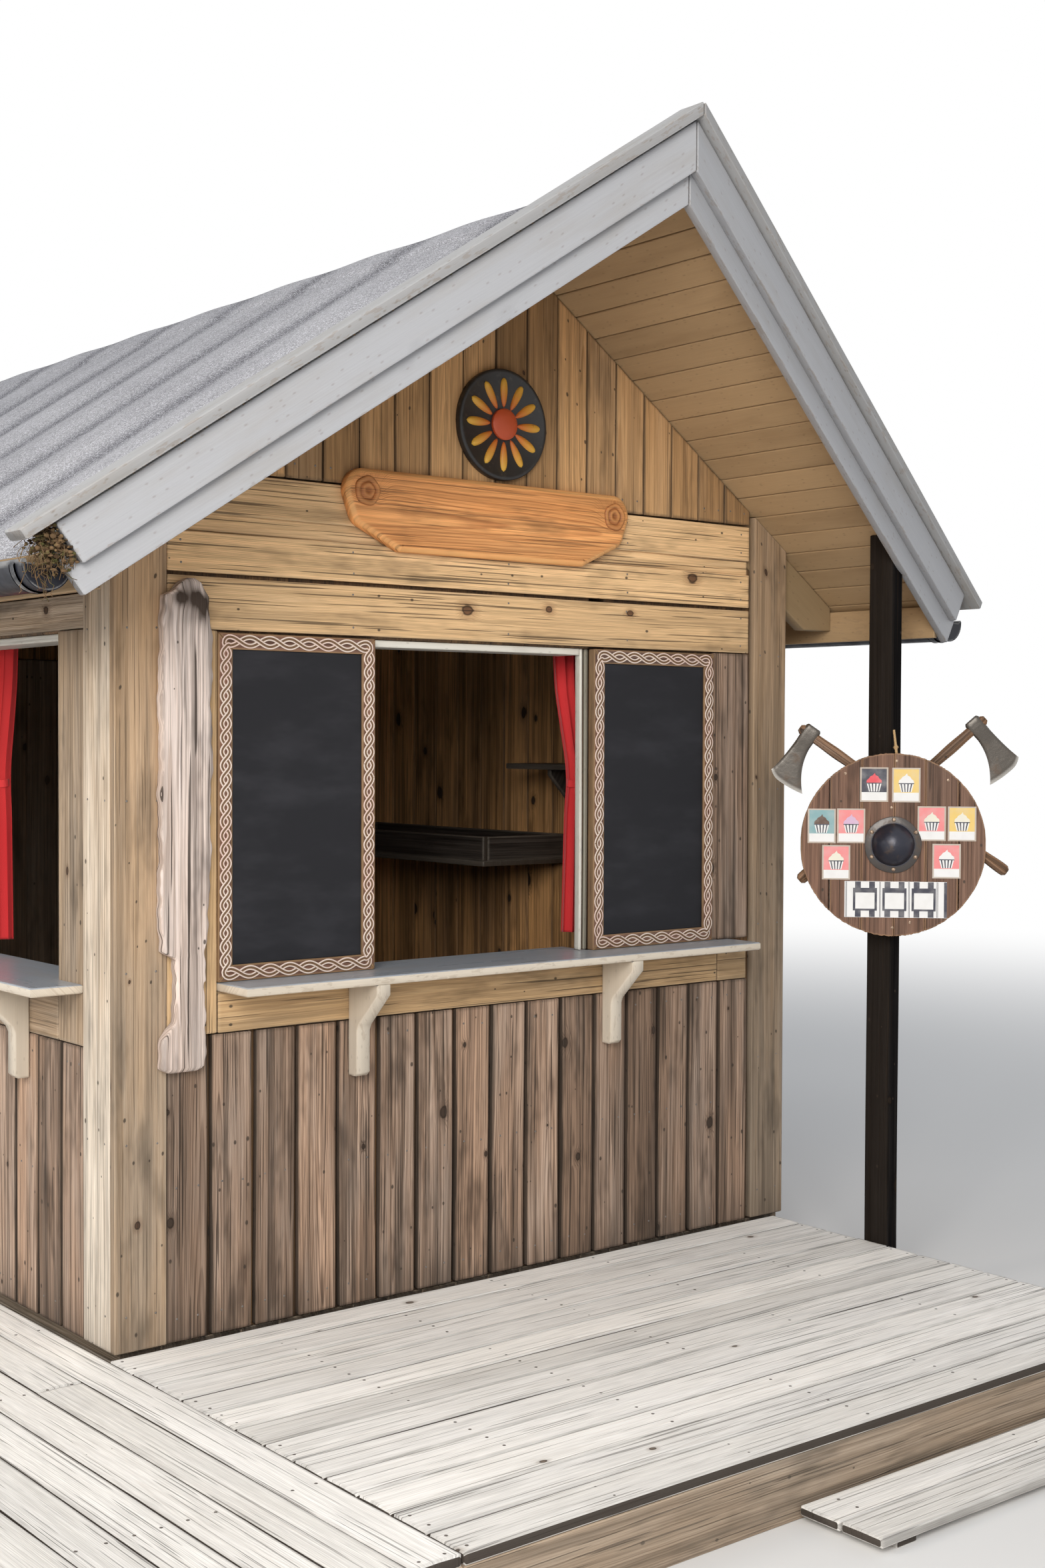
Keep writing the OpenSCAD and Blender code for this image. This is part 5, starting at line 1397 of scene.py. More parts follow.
def curtain(name, side, free_edge, seed):
    """A cloth of folds y = A sin t. A is found for each height so that the cloth's width is kept:
    width / span = mean of sqrt(1 + (k cos t)^2), with k = 2 pi A folds / span."""
    random = np.random.default_rng(seed)
    z, u = np.linspace(cloth_top, cloth_foot, 120)[:, None], np.linspace(0, 1, folds * 24 + 1)
    near = border(z, [0.044, 0.058, 0.068, 0.062, 0.04, 0.013, 0])
    span = border(z, [0.245, 0.196, 0.185, 0.19, 0.205, 0.23, 0.245]) - near
    k = np.interp(cloth_w / span, stretch, steep)
    amplitude = np.minimum(k * span / (2 * np.pi * folds), deep / 2 - 0.001)
    wide = u + 0.018 * np.sin(4 * np.pi * u + random.uniform(0, 6)) * np.sin(np.pi * u)
    lean = 0.5 * np.sin(3.2 * (z - cloth_foot) + random.uniform(0, 6)) * np.sin(np.pi * u)
    turn = 2 * np.pi * folds * u + lean
    x = free_edge + near + span * wide + 0.1 * span / folds * np.sin(2 * turn)
    y = wall_in + 0.0012 + deep / 2 + amplitude * np.sin(turn)
    rings = np.concatenate([row(x, y - 0.00055, z), row(x, y + 0.00055, z)[:, ::-1]], 1)
    part, whole, batten, band = Pile(), Pile(), Pile(), Pile()
    loft(part, rings, flat=lambda q: q[..., [2, 0]])
    whole.take(part, side)
    made = piece(name, whole, curtain_cloth, "curtain", "hatch_curtains", sharp=180)
    lying(batten, side, free_edge - 0.01, free_edge + 0.255, cloth_top + HAIR, cloth_top + 0.028,
          face=wall_in + 0.001, t=0.045, seed=seed)
    piece(name + "_batten", batten, lining, "wall_frame")
    tie = circle(1.0, 40) * (0.063, deep / 2 + 0.004) + (free_edge + 0.127, wall_in + deep / 2 + 0.005)
    loop = side(row(tie[:, 0], tie[:, 1], cloth_waist + 0.004 * np.sin(np.linspace(0, 6, 40))))
    sweep(band, loop, rectangle(-0.0008, 0.0008, -0.011, 0.011), (0, 0, 1), closed=True)
    piece(name + "_tie", band, curtain_cloth, "curtain")


f = Finish("curtain_cloth")
u, v = f.board_uv()
threads = f.times(f.math("SINE", f.times(u, 2400.0)), f.math("SINE", f.times(v, 2400.0)))
colour = f.mix(f.ramp(f.noise(f.place(), 3.0), 0.35, 0.7), (0.56, 0.026, 0.03), (0.64, 0.038, 0.04))
curtain_cloth = f.finish(colour, 0.78, threads, 0.0002, specular_ior_level=0.25, sheen_weight=0.25,
                         sheen_roughness=0.4)
curtain("front_curtain", on_front, hatch_x1 - 0.029, 210)
curtain("side_curtain", on_left, side_y1 - 0.211, 211)

# %% Shelves
wall_x, tray_z, rim_t = hut_w - wall_in - 0.0003, 1.262, 0.02
tray_x, tray_y, tray_end, z0 = wall_x - 0.4, 0.97, 2.2, tray_z - 0.108
shelf_x, shelf_y, shelf_end, shelf_z = wall_x - 0.25, 0.66, 1.03, 1.527
dark_shelf = bare_wood("dark_shelf", (0.05, 0.04, 0.034), (0.025, 0.02, 0.017), (0.015, 0.01, 0.008),
                       (0.07, 0.06, 0.052), stains=0.3, roughness=(0.35, 0.5), knots=0.2)
pile = Pile()
flat_boards(pile, tray_x, wall_x, tray_y, tray_end, z0 + rim_t, z0, seed=220)
for x in (tray_x, wall_x - rim_t):
    lying(pile, on_left, tray_y, tray_end, z0 + rim_t, tray_z, face=x, t=rim_t, seed=221)
for y in (tray_y, tray_end - rim_t):
    lying(pile, on_front, tray_x + rim_t, wall_x - rim_t, z0 + rim_t, tray_z, face=y, t=rim_t, seed=222)
flat_boards(pile, shelf_x, wall_x, shelf_y, shelf_end, shelf_z - rim_t, shelf_z, seed=223)
foot, top, brace_y = shelf_z - 0.25, shelf_z - rim_t - HAIR, 0.6 * shelf_y + 0.4 * shelf_end
brace = [(wall_x, top), (shelf_x + 0.03, top), (shelf_x + 0.03, shelf_z - 2 * rim_t),
         (wall_x - rim_t, foot), (wall_x, foot)]
slab(pile, on_front, brace, brace_y, brace_y + rim_t, turn=60)
piece("inner_shelf_boards", pile, dark_shelf, "black_shelf", "inner_shelves")

# %% [markdown]
# ## The plaque and the gable ornament
# The plaque is a varnished pine plank with ears and a plain face. Its outline is the hull of six
# circles: for each direction it takes the circle that reaches furthest that way. A knot is carved
# in each ear, with a groove round it and a hollow in the middle, and the grain curls round it.

# %% Plaque
plaque_z0, plaque_z1, plaque_t, plaque_x0 = 2.148, 2.375, 0.034, mid_x - 0.022 - 0.533
plaque_x1 = plaque_x0 + 1.066
insets, zs, radii = ((0.062, 0.07, 0.19), (plaque_z1 - 0.062, plaque_z0 + 0.11, plaque_z0 + 0.012),
                     (0.062, 0.05, 0.012))
centres = np.array([(x, z) for a, z in zip(insets, zs) for x in (plaque_x0 + a, plaque_x1 - a)])
radii, towards = np.repeat(radii, 2), circle(1.0, 160)
best = (centres @ towards.T + radii[:, None]).argmax(0)
hull = centres[best] + radii[best, None] * towards
ears = (plaque_x0 + 0.068, plaque_z1 - 0.064), (plaque_x1 - 0.066, plaque_z1 - 0.068)
pith = plaque_z0 + 0.07, 0.05, 0.02
pine = bare_wood(
    "varnished_pine", (0.8, 0.345, 0.115), (0.4, 0.13, 0.035), (0.16, 0.05, 0.018), (0.84, 0.43, 0.17),
    ring=0.0055, greyness=0.15, streaks=0.6, knots=0.2, sooty=0.3, roughness=(0.38, 0.46), relief=0.0006,
    edge_wear_and_shade=0.9, lines=0.25, edge_colour=(0.9, 0.52, 0.21), specular_ior_level=0.3, pins=0,
    eyes=[(*ears[0], 0.026), (*ears[1], 0.024)])
pile = Pile()
steps = [(-plaque_t, 0.02, 0), (-plaque_t, 0.015, 0.1), (-plaque_t + 0.002, 0.01, 1),
         (-plaque_t + 0.009, 0.002, 1), (-plaque_t + 0.013, 0, 0.3), (-0.003, 0, 0), (-HAIR, 0.002, 0),
         (-HAIR, 0.006, 0)]
slab(pile, on_front, hull, 0, 0, steps=steps, shift=(0, 0), grain=pith, tone=0.5)
piece("plaque_board", pile, pine, "varnished_pine", "sign_plaque", sharp=60)


def turned(profile, spokes=48, wobble=0.0):
    """A shape turned on a lathe from (radius, height) pairs, facing the front."""
    spin, (r, h) = circle(1.0, spokes), np.array(profile, float).T[..., None]
    uneven = 1 + wobble * np.sin(5 * np.radians(np.arange(spokes) * 360 / spokes) + 1.0)
    return row(spin[:, 0] * r * uneven, -h, spin[:, 1] * r * uneven)


KNOT_TURNS = [(0.042, 0), (0.0415, 0.0035), (0.038, 0.0058), (0.033, 0.0062), (0.028, 0.0045),
              (0.025, 0.0015), (0.022, 0.0035), (0.017, 0.0062), (0.012, 0.0052), (0.007, 0.0018),
              (0.001, 0.0008)]
pile = Pile()
for (x, z), turn in zip(ears, (0.4, 2.0)):
    rings = turned(KNOT_TURNS, wobble=0.035)
    rings = rings + np.linspace(0, 0.004, len(rings))[:, None, None] * (np.cos(turn), 0, np.sin(turn))
    loft(pile, rings + (x, 0.0002 - plaque_t, z), edge=np.clip(rings[..., 1] / -0.006 - 0.5, 0, 1) * 1.4,
         flat=lambda q: q[..., [0, 2]], grain=pith)
knot_pine = bare_wood(
    "knot_pine", (0.42, 0.15, 0.045), (0.2, 0.062, 0.02), KNOT, (0.4, 0.16, 0.06), greyness=0.1, knots=0,
    contrast=0.6, sooty=0.3, roughness=(0.38, 0.46), lines=0.2, relief=0.0006, edge_wear_and_shade=1.0,
    edge_colour=(0.88, 0.42, 0.15), pins=0, specular_ior_level=0.3)
piece("plaque_knots", pile, knot_pine, "varnished_pine", sharp=60)

# %% Petal ornament
hub, half, disc_t = (mid_x + 0.012, 0.0, 2.55), 0.165, 0.024
heart, petal = 0.33 * 0.14, 0.33 * 0.27
disc = [(half - 0.003, 0), (half, 0.003), (half, disc_t - 0.003), (half - 0.003, disc_t),
        (half - 0.012, disc_t), (half - 0.014, disc_t - 0.002), (0.002, disc_t - 0.002)]
button = [(heart, disc_t - 0.003), (heart, disc_t + 0.006), (heart * 0.85, disc_t + 0.011),
          (heart * 0.5, disc_t + 0.014), (0.001, disc_t + 0.015)]
pile = Pile()
loft(pile, turned(disc, 72) + hub, tone=0.0)
loft(pile, turned(button) + hub, tone=0.4)
v, arch = np.linspace(-1, 1, 19), circle(1.0, 9, 0, 180)
width = 0.3 * petal / 2 * np.sqrt(np.maximum(1 - v ** 2, 0.002)) * (1 + 0.25 * v)
a = width[:, None] * np.r_[arch[:, 0], 0.0]
b = (heart + petal / 2 + 0.004 + v * petal / 2)[:, None]
c = disc_t - 0.004 + np.sqrt(width / width.max())[:, None] * 0.01 * np.r_[arch[:, 1], -0.1]
for angle in np.radians(30 * np.arange(12)):
    ring = row(a * np.cos(angle) - b * np.sin(angle), -c, a * np.sin(angle) + b * np.cos(angle))
    loft(pile, ring + hub, tone=1.0, edge=(0.5 + v / 2)[:, None])
f = Finish("ornament_paint")
scuff, tone = f.noise(f.place(), 40.0, detail=4.0, roughness=0.7), f.value("tone")
flame = f.mix(f.value("edge"), (0.55, 0.1, 0.015), (0.72, 0.42, 0.05))
black = f.mix(f.ramp(scuff, 0.55, 0.75), (0.018, 0.017, 0.017), (0.06, 0.052, 0.045))
colour = f.mix(f.above(tone, 0.2), black, (0.5, 0.075, 0.02))
colour = f.mix(f.above(tone, 0.7), colour, flame)
colour = f.mix(f.times(f.ramp(scuff, 0.62, 0.72), 0.6), colour, (0.05, 0.035, 0.025))
piece("petal_ornament", pile, f.finish(colour, 0.45, scuff, 0.0006), "black_paint", "sign_rosette")

# %% [markdown]
# ## Driftwood
# A grey plank from the shore is nailed up beside the left panel. Its outline swings in slow waves
# with a narrow neck near the foot, its edges are worn round, and a dark burl swells at its top.

# %% Driftwood plank
drift_len, drift_z, drift_t = 1.302, 0.733, 0.034

# Left and right edges in millimetres, at thousandths of the height
LEVELS = np.array([0, 70, 85, 100, 140, 230, 245, 300, 600, 900, 965, 972, 980, 990, 1000]) / 1000
LEFT = np.array([115, 119, 134, 155, 163, 158, 119, 116, 118, 119, 127, 150, 162, 175, 190]) / 1000
RIGHT = np.array([245, 246, 247, 252, 246, 245, 244, 258, 267, 266, 254, 248, 243, 235, 222]) / 1000
t = np.linspace(0, 1, 220)
ragged = 0.0016 * np.sin(73 * t + 1) + 0.0011 * np.sin(161 * t + 2) + 0.0022 * np.sin(31 * t)
left = (np.interp(t, LEVELS, LEFT) + ragged)[:, None]
right = (np.interp(t, LEVELS, RIGHT) + np.roll(ragged, 40) * 1.2)[:, None]
middle, around, t = (left + right) / 2, circle(1.0, 56), t[:, None]
worn = np.sign(around) * np.abs(around) ** 0.24
wide = np.where(worn[:, 0] < 0, middle - left, right - middle) * worn[:, 0]
angle, burl = np.radians(np.arange(56) * 360 / 56), np.exp(-((t - 0.95) / 0.03) ** 2)
gnarl = (0.5 * np.sin(5 * angle + 30 * t) + 0.35 * np.sin(9 * angle - 61 * t)
         + 0.3 * np.sin(3 * angle + 111 * t))
across = wide / 0.07
worn_grain = 0.0003 * np.sin(23 * across + 3 * np.sin(7 * t)) + 0.0007 * np.sin(5 * across + 17 * t)
ends = np.clip(np.minimum(t, 1 - t) / 0.006, 0.45, 1) ** 0.5
front, deep = worn[:, 1] < 0, drift_t / 2 * worn[:, 1] * ends
swell = np.where(front, 1 + burl * (0.22 + 0.2 * gnarl), 1.0)
ring_y = -0.004 - drift_t / 2 + deep * swell + worn_grain * front
pile = Pile()
loft(pile, row(middle + wide * ends, ring_y, drift_z + drift_len * t), grain=(0.1, 0.03, 0.01),
     edge=3.2 * burl * np.clip(0.4 + 0.6 * gnarl + 0.5 * across, 0, 1),
     flat=lambda q: np.stack([q[..., 2], q[..., 0] + q[..., 1]], -1))
driftwood = bare_wood(
    "driftwood", (0.6, 0.48, 0.415), (0.36, 0.255, 0.195), (0.12, 0.075, 0.05), (0.64, 0.555, 0.51),
    ring=0.0065, greyness=0.4, contrast=0.55, knots=0.3, stains=0.5, sooty=0.45, checks=1.0, lines=0.35,
    relief=0.0008, edge_wear_and_shade=1.0, edge_colour=(0.06, 0.042, 0.032))
piece("driftwood_board", pile, driftwood, "driftwood", "driftwood_plank", sharp=180)

# %% [markdown]
# ## Post, shield and axes
# A tarred post stands beside the deck under the eave. A round shield of stained boards hangs on it
# and faces the corner of the two decks, with two old axes crossed behind it. Small cards with a
# simple picture of a cup are pinned to the shield.

# %% Post
post_x, post_end = hut_w - 0.03, hut_w + 0.015
post_y = prow(post_x) + roof_y0 + 0.002
tar = bare_wood("tarred_wood", (0.009, 0.008, 0.008), (0.005, 0.004, 0.004), (0.004, 0.003, 0.003),
                (0.014, 0.012, 0.011), greyness=0.1, streaks=1.0, stains=0.2, roughness=(0.6, 0.75),
                edge_wear_and_shade=0.2, edge_colour=(0.05, 0.042, 0.034), relief=0.001, specular_ior_level=0.02)
pile = Pile()
upright(pile, on_front, post_x, post_end, -deck_h, *slanted(post_x, post_end), face=post_y, t=0.098,
        arris=0.003, seed=230)
piece("tarred_post", pile, tar, "black_post", "roof_post")

# %% Shield
shield_r, shield_back = 0.29, 0.0443
shield_face = shield_back + 0.022


def on_shield(p):
    """From a wall seen from the front to the shield, which is turned 45 degrees to the left."""
    c = np.sqrt(0.5)
    return row((p[..., 0] + p[..., 1]) * c, (p[..., 1] - p[..., 0]) * c, p[..., 2]) + (post_x, post_y, 1.287)


random = np.random.default_rng(240)
edges = np.array([-0.29, -0.196, -0.098, 0.004, 0.101, 0.203, 0.29])
pile = Pile()
for i, (x0, x1) in enumerate(zip(edges, edges[1:])):
    xs = np.linspace(x0 + 0.0006, x1 - 0.0006, 24)
    tall = np.sqrt(np.maximum(shield_r ** 2 - xs ** 2, 0.0004 ** 2))
    chip = random.uniform(-0.0022, 0.0004, (2, 24)) * (tall > 0.03)
    outline = np.vstack([np.c_[xs, tall + chip[0]], np.c_[xs, -tall - chip[1]][::-1]])
    outline[:, 0] = np.clip(outline[:, 0], -shield_r + 0.002, shield_r - 0.002)
    slab(pile, on_shield, outline, random.uniform(0, 0.0008) - shield_face, -shield_back, arris=0.0012,
         turn=90, seed=241 + i)
stained = bare_wood("stained_shield", (0.185, 0.1, 0.066), (0.095, 0.048, 0.031), (0.04, 0.02, 0.012),
                    (0.2, 0.125, 0.09), greyness=0.25, streaks=0.9, contrast=0.55, knots=0.25, stains=0.5,
                    sooty=0.35, lines=0.28, checks=0.6, tone_range=0.35, roughness=(0.5, 0.62),
                    edge_wear_and_shade=1.0, edge_colour=(0.42, 0.25, 0.14))
piece("shield_planks", pile, stained, "stained_board", "shield_board")

# %% Boss
f = Finish("forged_steel")
rust = f.ramp(f.noise(f.place(), 19.0, detail=5.0, roughness=0.7), 0.5, 0.72)
colour = f.mix(f.ramp(f.value("tone"), 0.3, 0.7), (0.022, 0.023, 0.036), (0.08, 0.068, 0.056))
colour = f.mix(f.times(rust, 0.7), colour, (0.095, 0.06, 0.038))
colour = f.mix(f.ramp(f.value("edge"), 0.3, 1.0), colour, (0.38, 0.36, 0.33))
steel = f.finish(colour, f.scaled(rust, 0.25, 0.33), f.noise(f.place(), 38.0, detail=3.0, roughness=0.6),
                 metallic=0.35, specular_ior_level=0.6)
front = shield_face + 0.0006
sphere_r = (0.052 ** 2 + 0.0675 ** 2) / (2 * 0.052)
up = np.linspace(0, 1, 14)[:0:-1] ** 0.8 * np.arcsin(0.0675 / sphere_r)
dome = zip(sphere_r * np.sin(up), 0.056 - sphere_r * (1 - np.cos(up)))
profile = [(0.083, 0), (0.0885, 0.0005), (0.089, 0.003), (0.0865, 0.0045), (0.0725, 0.0045),
           (0.0695, 0.0055), *dome, (0.0008, 0.056)]
boss = turned(profile, 72, 0.008) + (0, -front, 0)
ring = circle(0.0785, 6, 30, 390) + (0.002, 0.001)
screws = np.array([(0, -262), (-5, 118), (55, -245), (-150, 225), (170, 205), (10, 265)]) / 1000
pile, rivets = Pile(), Pile()
loft(pile, boss[5:], tone=0.0)
loft(pile, boss[:7], tone=0.55)
domes(rivets, row(ring[:, 0], -front - 0.0045, ring[:, 1]), (0, -1, 0), 0.0065, 0.004, 12, tone=0.9)
domes(rivets, row(screws[:, 0], -front + 0.0006, screws[:, 1]), (0, -1, 0), 0.0045, 0.0012, 10, tone=0.9)
worn_rivets = speckled("worn_rivets", (0.42, 0.31, 0.22), (0.2, 0.13, 0.09), 160.0, (0.4, 0.6),
                       roughness=0.45, metallic=0.4)
for name, parts, finish, nodes in (("forged_boss", pile, steel, ("shield_boss",)),
                                   ("boss_rivets", rivets, worn_rivets, ())):
    whole = Pile()
    whole.take(parts, on_shield)
    piece(name, whole, finish, "steel", *nodes)

# %% Axes
handle_half = 0.39


def on_axe(p, mirrored):
    """Handle along the second value, blade to the right along the first, thickness the third."""
    a, b, c = p[..., 0], p[..., 1], p[..., 2]
    tilt, x0, z0, lift = (35, -0.027, 0.146, 0.0225) if mirrored else (42, 0, 0.14, 0.0004)
    sine, cosine = np.sin(np.radians(tilt)), np.cos(np.radians(tilt))
    x, z = a * sine + b * cosine + x0, b * sine - a * cosine + z0
    return on_shield(row(-x if mirrored else x, -(c + lift), z))


b, oval = np.linspace(-handle_half, handle_half, 90)[:, None], circle(1.0, 18)
knuckle = 1 + 0.1 * np.exp(-((b + 0.37) / 0.03) ** 2) + 0.03 * np.sin(31 * b) + 0.03 * np.sin(53 * b + 1)
wide = 0.0165 * knuckle * np.clip((handle_half - np.abs(b) + 0.004) / 0.008, 0.6, 1)
handle = row(wide * oval[:, 0] + 0.0015 * np.sin(7 * b), b, 0.0108 + 0.0104 * oval[:, 1] * wide / wide.max())
longer = handle - (0, 0.014, 0) * np.linspace(1, 0, 90)[:, None, None] ** 3
u = np.r_[-0.162, -0.15, -0.12, -0.06, 0, np.linspace(0.03, 1, 26)][:, None]
a, blade = u * 0.165, np.clip(u, 0, 1)
height_up = np.interp(a, [-0.027, -0.022, 0, 0.04], [0.021, 0.0265, 0.027, 0.0245]) + 0.0095 * blade ** 3
height_down = np.interp(a, [-0.027, -0.022, 0, 0.04], [0.021, 0.0265, 0.027, 0.024]) + 0.067 * blade ** 2.5
thick = np.interp(u, [-0.162, -0.14, 0, 0.12, 0.4, 0.93, 1],
                  [0.0075, 0.0108, 0.0108, 0.0095, 0.005, 0.0026, 0.0003])
v = np.r_[np.linspace(-1, 1, 14), np.linspace(1, -1, 14)[1:-1]]
lens = ((1 - np.abs(v) ** 6) ** 0.5 * 0.92 + 0.08) * np.r_[np.ones(14), -np.ones(12)]
head = row(a + 0.012 * (1 - (v + 0.15) ** 2) * blade ** 2,
           0.352 + np.where(v > 0, height_up, height_down) * v, 0.011 + lens * thick)
handles, heads = Pile(), Pile()
for mirrored, shape in ((False, handle), (True, longer)):
    loft(handles, on_axe(shape, mirrored), grain=(0.05, 0.02, 0.01), shift=(3.0 * mirrored, 0.0))
    loft(heads, on_axe(head, mirrored), edge=np.clip((u - 0.9) / 0.08, 0, 1), tone=1.0)
ash = bare_wood(
    "axe_handles", (0.3, 0.16, 0.08), (0.13, 0.065, 0.034), (0.05, 0.03, 0.02), (0.2, 0.13, 0.09),
    greyness=0.35, streaks=1.4, stains=0.7, contrast=0.8, roughness=(0.45, 0.6), relief=0.0012)
piece("axe_handles", handles, ash, "steel", "crossed_axes", sharp=180)
piece("axe_heads", heads, steel, "steel", sharp=40)

# %% Cards
PALETTE = [(0.5, 0.42, 0.35), (0.8, 0.79, 0.78), (0.045, 0.045, 0.065), (0.78, 0.55, 0.17),
           (0.22, 0.38, 0.4), (0.8, 0.25, 0.25), (0.72, 0.08, 0.1), (0.78, 0.74, 0.62),
           (0.1, 0.05, 0.03), (0.62, 0.42, 0.58)]
SLEEVE, WHITE, NAVY, YELLOW, TEAL, PINK, RED, CREAM, COCOA, LILAC = (np.arange(10) + 0.5) / 10
pile = Pile()


def paper(outline, layer, tone):
    """A thin flat shape on the shield, given in millimetres, one layer above another."""
    y, t = -front - 0.0003 - 0.00025 * layer, 0.0003 if layer else 0.0009
    slab(pile, on_shield, np.array(outline) / 1000.0, y, y + t, tone=tone, steps=[(y, 0, 0), (y + t, 0, 0)])


swirl = np.array([(-24, 6), (-23, 14), (-16, 20), (-12, 26), (-5, 29), (2, 37), (4, 30), (12, 26),
                  (16, 19), (23, 14), (24, 6)])
for x, z, field, scoop in ((-60, 190, NAVY, RED), (40, 189, YELLOW, WHITE), (-223, 58, TEAL, COCOA),
                           (-131, 59, PINK, LILAC), (120, 68, PINK, CREAM), (214, 68, YELLOW, CREAM),
                           (-177, -57, PINK, CREAM), (167, -50, PINK, WHITE)):
    paper(rectangle(x - 44, x + 44, z - 54.5, z + 54.5), 0, SLEEVE)
    paper(rectangle(x - 39, x + 39, z - 50, z + 50), 1, WHITE)
    paper(rectangle(x - 39, x + 39, z - 24, z + 50), 2, field)
    paper(np.array([(-16, -22), (16, -22), (23, 4), (-23, 4)]) + (x, z), 3, WHITE)
    for k in (-1.5, -0.5, 0.5, 1.5):
        stripe = [(7.5 * k - 1.6, -22), (7.5 * k + 1.6, -22), (11 * k + 2.2, 4), (11 * k - 2.2, 4)]
        paper(np.add(stripe, (x, z)), 4, NAVY)
    paper(rectangle(x - 24, x + 24, z + 3, z + 6), 5, NAVY)
    paper(swirl + (x, z), 5, scoop)
paper(rectangle(-150, 169, -230, -116), 0, WHITE)
for x in (-86, 6, 97):
    for dx in (-22, 22):
        paper(rectangle(x + dx - 9, x + dx + 9, -229, -117), 1, NAVY)
    paper(rectangle(x - 37.5, x + 37.5, -209, -137), 2, NAVY)
    paper(rectangle(x - 30, x + 30, -203, -152), 3, WHITE)
paper(rectangle(160, 169, -229, -117), 1, NAVY)
for x in (-146, -143, -40.5, -37.5, 50, 53, 138, 141):
    paper(rectangle(x - 0.7, x + 0.7, -229, -117), 1, NAVY)
f = Finish("card_print")
ramp = f.node("ValToRGB", f.value("tone"))
ramp.color_ramp.interpolation = "CONSTANT"
for i, value in enumerate(PALETTE):
    stop = ramp.color_ramp.elements[i] if i < 2 else ramp.color_ramp.elements.new(i / 10)
    stop.position, stop.color = i / 10, (*value, 1)
faded = f.ramp(f.noise(f.place(), 30.0, detail=3.0), 0.35, 0.75, 0.0, 0.22)
colour = f.mix(faded, ramp.outputs[0], (0.62, 0.6, 0.58))
piece("shield_cards", pile, f.finish(colour, 0.3, specular_ior_level=0.4), "stained_board")

# %% Rope loop
t, strand = np.linspace(0, 1, 120), circle(1.0, 27)
pinch = 0.0042 + 0.0038 * np.exp(-((t - 0.42) / 0.05) ** 2) - 0.001 * t
lobes = 1 + 0.22 * np.cos(3 * (np.radians(np.arange(27) * 360 / 27) - 46 * t[:, None]))
path = row(0.012 - 0.01 * t, -front + 0.01 + 0.012 * t, 0.268 + 0.095 * t)
pile = Pile()
sweep(pile, on_shield(path), strand * (pinch[:, None] * lobes)[..., None], (0.7, -0.7, 0.1))
rope_fibre = speckled("rope_fibre", (0.42, 0.27, 0.13), (0.62, 0.44, 0.24), 400.0, roughness=0.9,
                      specular_ior_level=0.2)
piece("shield_rope", pile, rope_fibre, "stained_board", sharp=180)

# %% [markdown]
# ## Decks
# The deck boards lie on joists between two rims on edge. The front deck's boards run along the
# front, the side deck's away from it, and each board is held by a pair of screws at every joist.

# %% Deck boards
deck_x0, deck_x1, deck_reach, deck_gap, deck_t, deck_pitch = -0.02, hut_w - 0.04, 1.52, 0.006, 0.028, 0.125
joist_w, side_x0 = 0.045, deck_x0 - 10 * deck_pitch
# The side faces in the gaps between deck boards are painted fully in shade.
worn_board = {"arris": 0.004, "cup": 0.0014, "wander": 0.0009, "sides": 1}
count = round(deck_reach / deck_pitch)
front_step_y = deck_reach / count
near = -(np.arange(count) + 1) * front_step_y
pile = Pile()
flat_boards(pile, deck_x0, deck_x1, near, near + front_step_y - deck_gap, -deck_t, 0, by_x=True, seed=250,
            **worn_board)
piece("front_deck_planks", pile, deck_wood, "deck_boards", "front_deck_boards")
side_joists = -deck_reach + np.arange(12) * (hut_d + deck_reach - joist_w) / 11 + joist_w / 2
butt = side_joists[np.random.default_rng(251).integers(3, 9, 10)]
lane = side_x0 + np.arange(10) * deck_pitch
pile = Pile()
for y0, y1, seed in ((-deck_reach, butt - 0.0012, 252), (butt + 0.0012, hut_d, 253)):
    flat_boards(pile, lane, lane + deck_pitch - deck_gap, y0, y1, -deck_t, 0, seed=seed, **worn_board)
piece("side_deck_planks", pile, deck_wood, "deck_boards", "side_deck_boards")

# %% Joists and rims
seat, front_end, side_end = joist_w + HAIR, board_t - HAIR, deck_x0 - HAIR


def joists_between(start, stop):
    """Equal places for joists from start to stop, at most 0.48 m apart."""
    count = int(np.ceil((stop - start) / 0.48))
    return start + np.arange(count + 1) * (stop - start - joist_w) / count


front_joists, cross_joists = joists_between(deck_x0, deck_x1), joists_between(-deck_reach, hut_d)
rim_y, rim_x = np.array([-deck_reach, front_end - joist_w]), np.array([side_x0, side_end - joist_w])
pile = Pile()
for seed, (x0, x1, y0, y1, by_x) in enumerate((
        (front_joists, front_joists + joist_w, seat - deck_reach, front_end - seat, False),
        (deck_x0, deck_x1, rim_y, rim_y + joist_w, True),
        (side_x0 + seat, side_end - seat, cross_joists, cross_joists + joist_w, True),
        (rim_x, rim_x + joist_w, -deck_reach, hut_d, False)), 261):
    flat_boards(pile, x0, x1, y0, y1, -deck_h, -deck_t - 0.0003, by_x, arris=0.003, seed=seed)
piece("deck_joists", pile, rim_wood, "deck_frame", "deck_frame")

# %% Step
step_x0, step_top, batten_top = 0.94, 0.04 - deck_h, 0.016 - deck_h
lanes = -deck_reach - deck_gap - np.array([1, 2]) * deck_pitch
battens = step_x0 + 0.06 + np.arange(3) * (deck_x1 - step_x0 - 0.19) / 2
pile = Pile()
flat_boards(pile, step_x0, deck_x1, lanes, lanes + deck_pitch - deck_gap, batten_top + 0.0003, step_top,
            by_x=True, arris=0.004, cup=0.001, seed=270)
flat_boards(pile, battens, battens + 0.07, lanes[1] + 0.01, -deck_reach - 0.001, -deck_h, batten_top,
            seed=271)
piece("front_step_planks", pile, deck_wood, "deck_boards", "front_step")

# %% [markdown]
# ## Nails and screws
# Small, but they tell how the hut is put together: two to a board at each rail or joist.

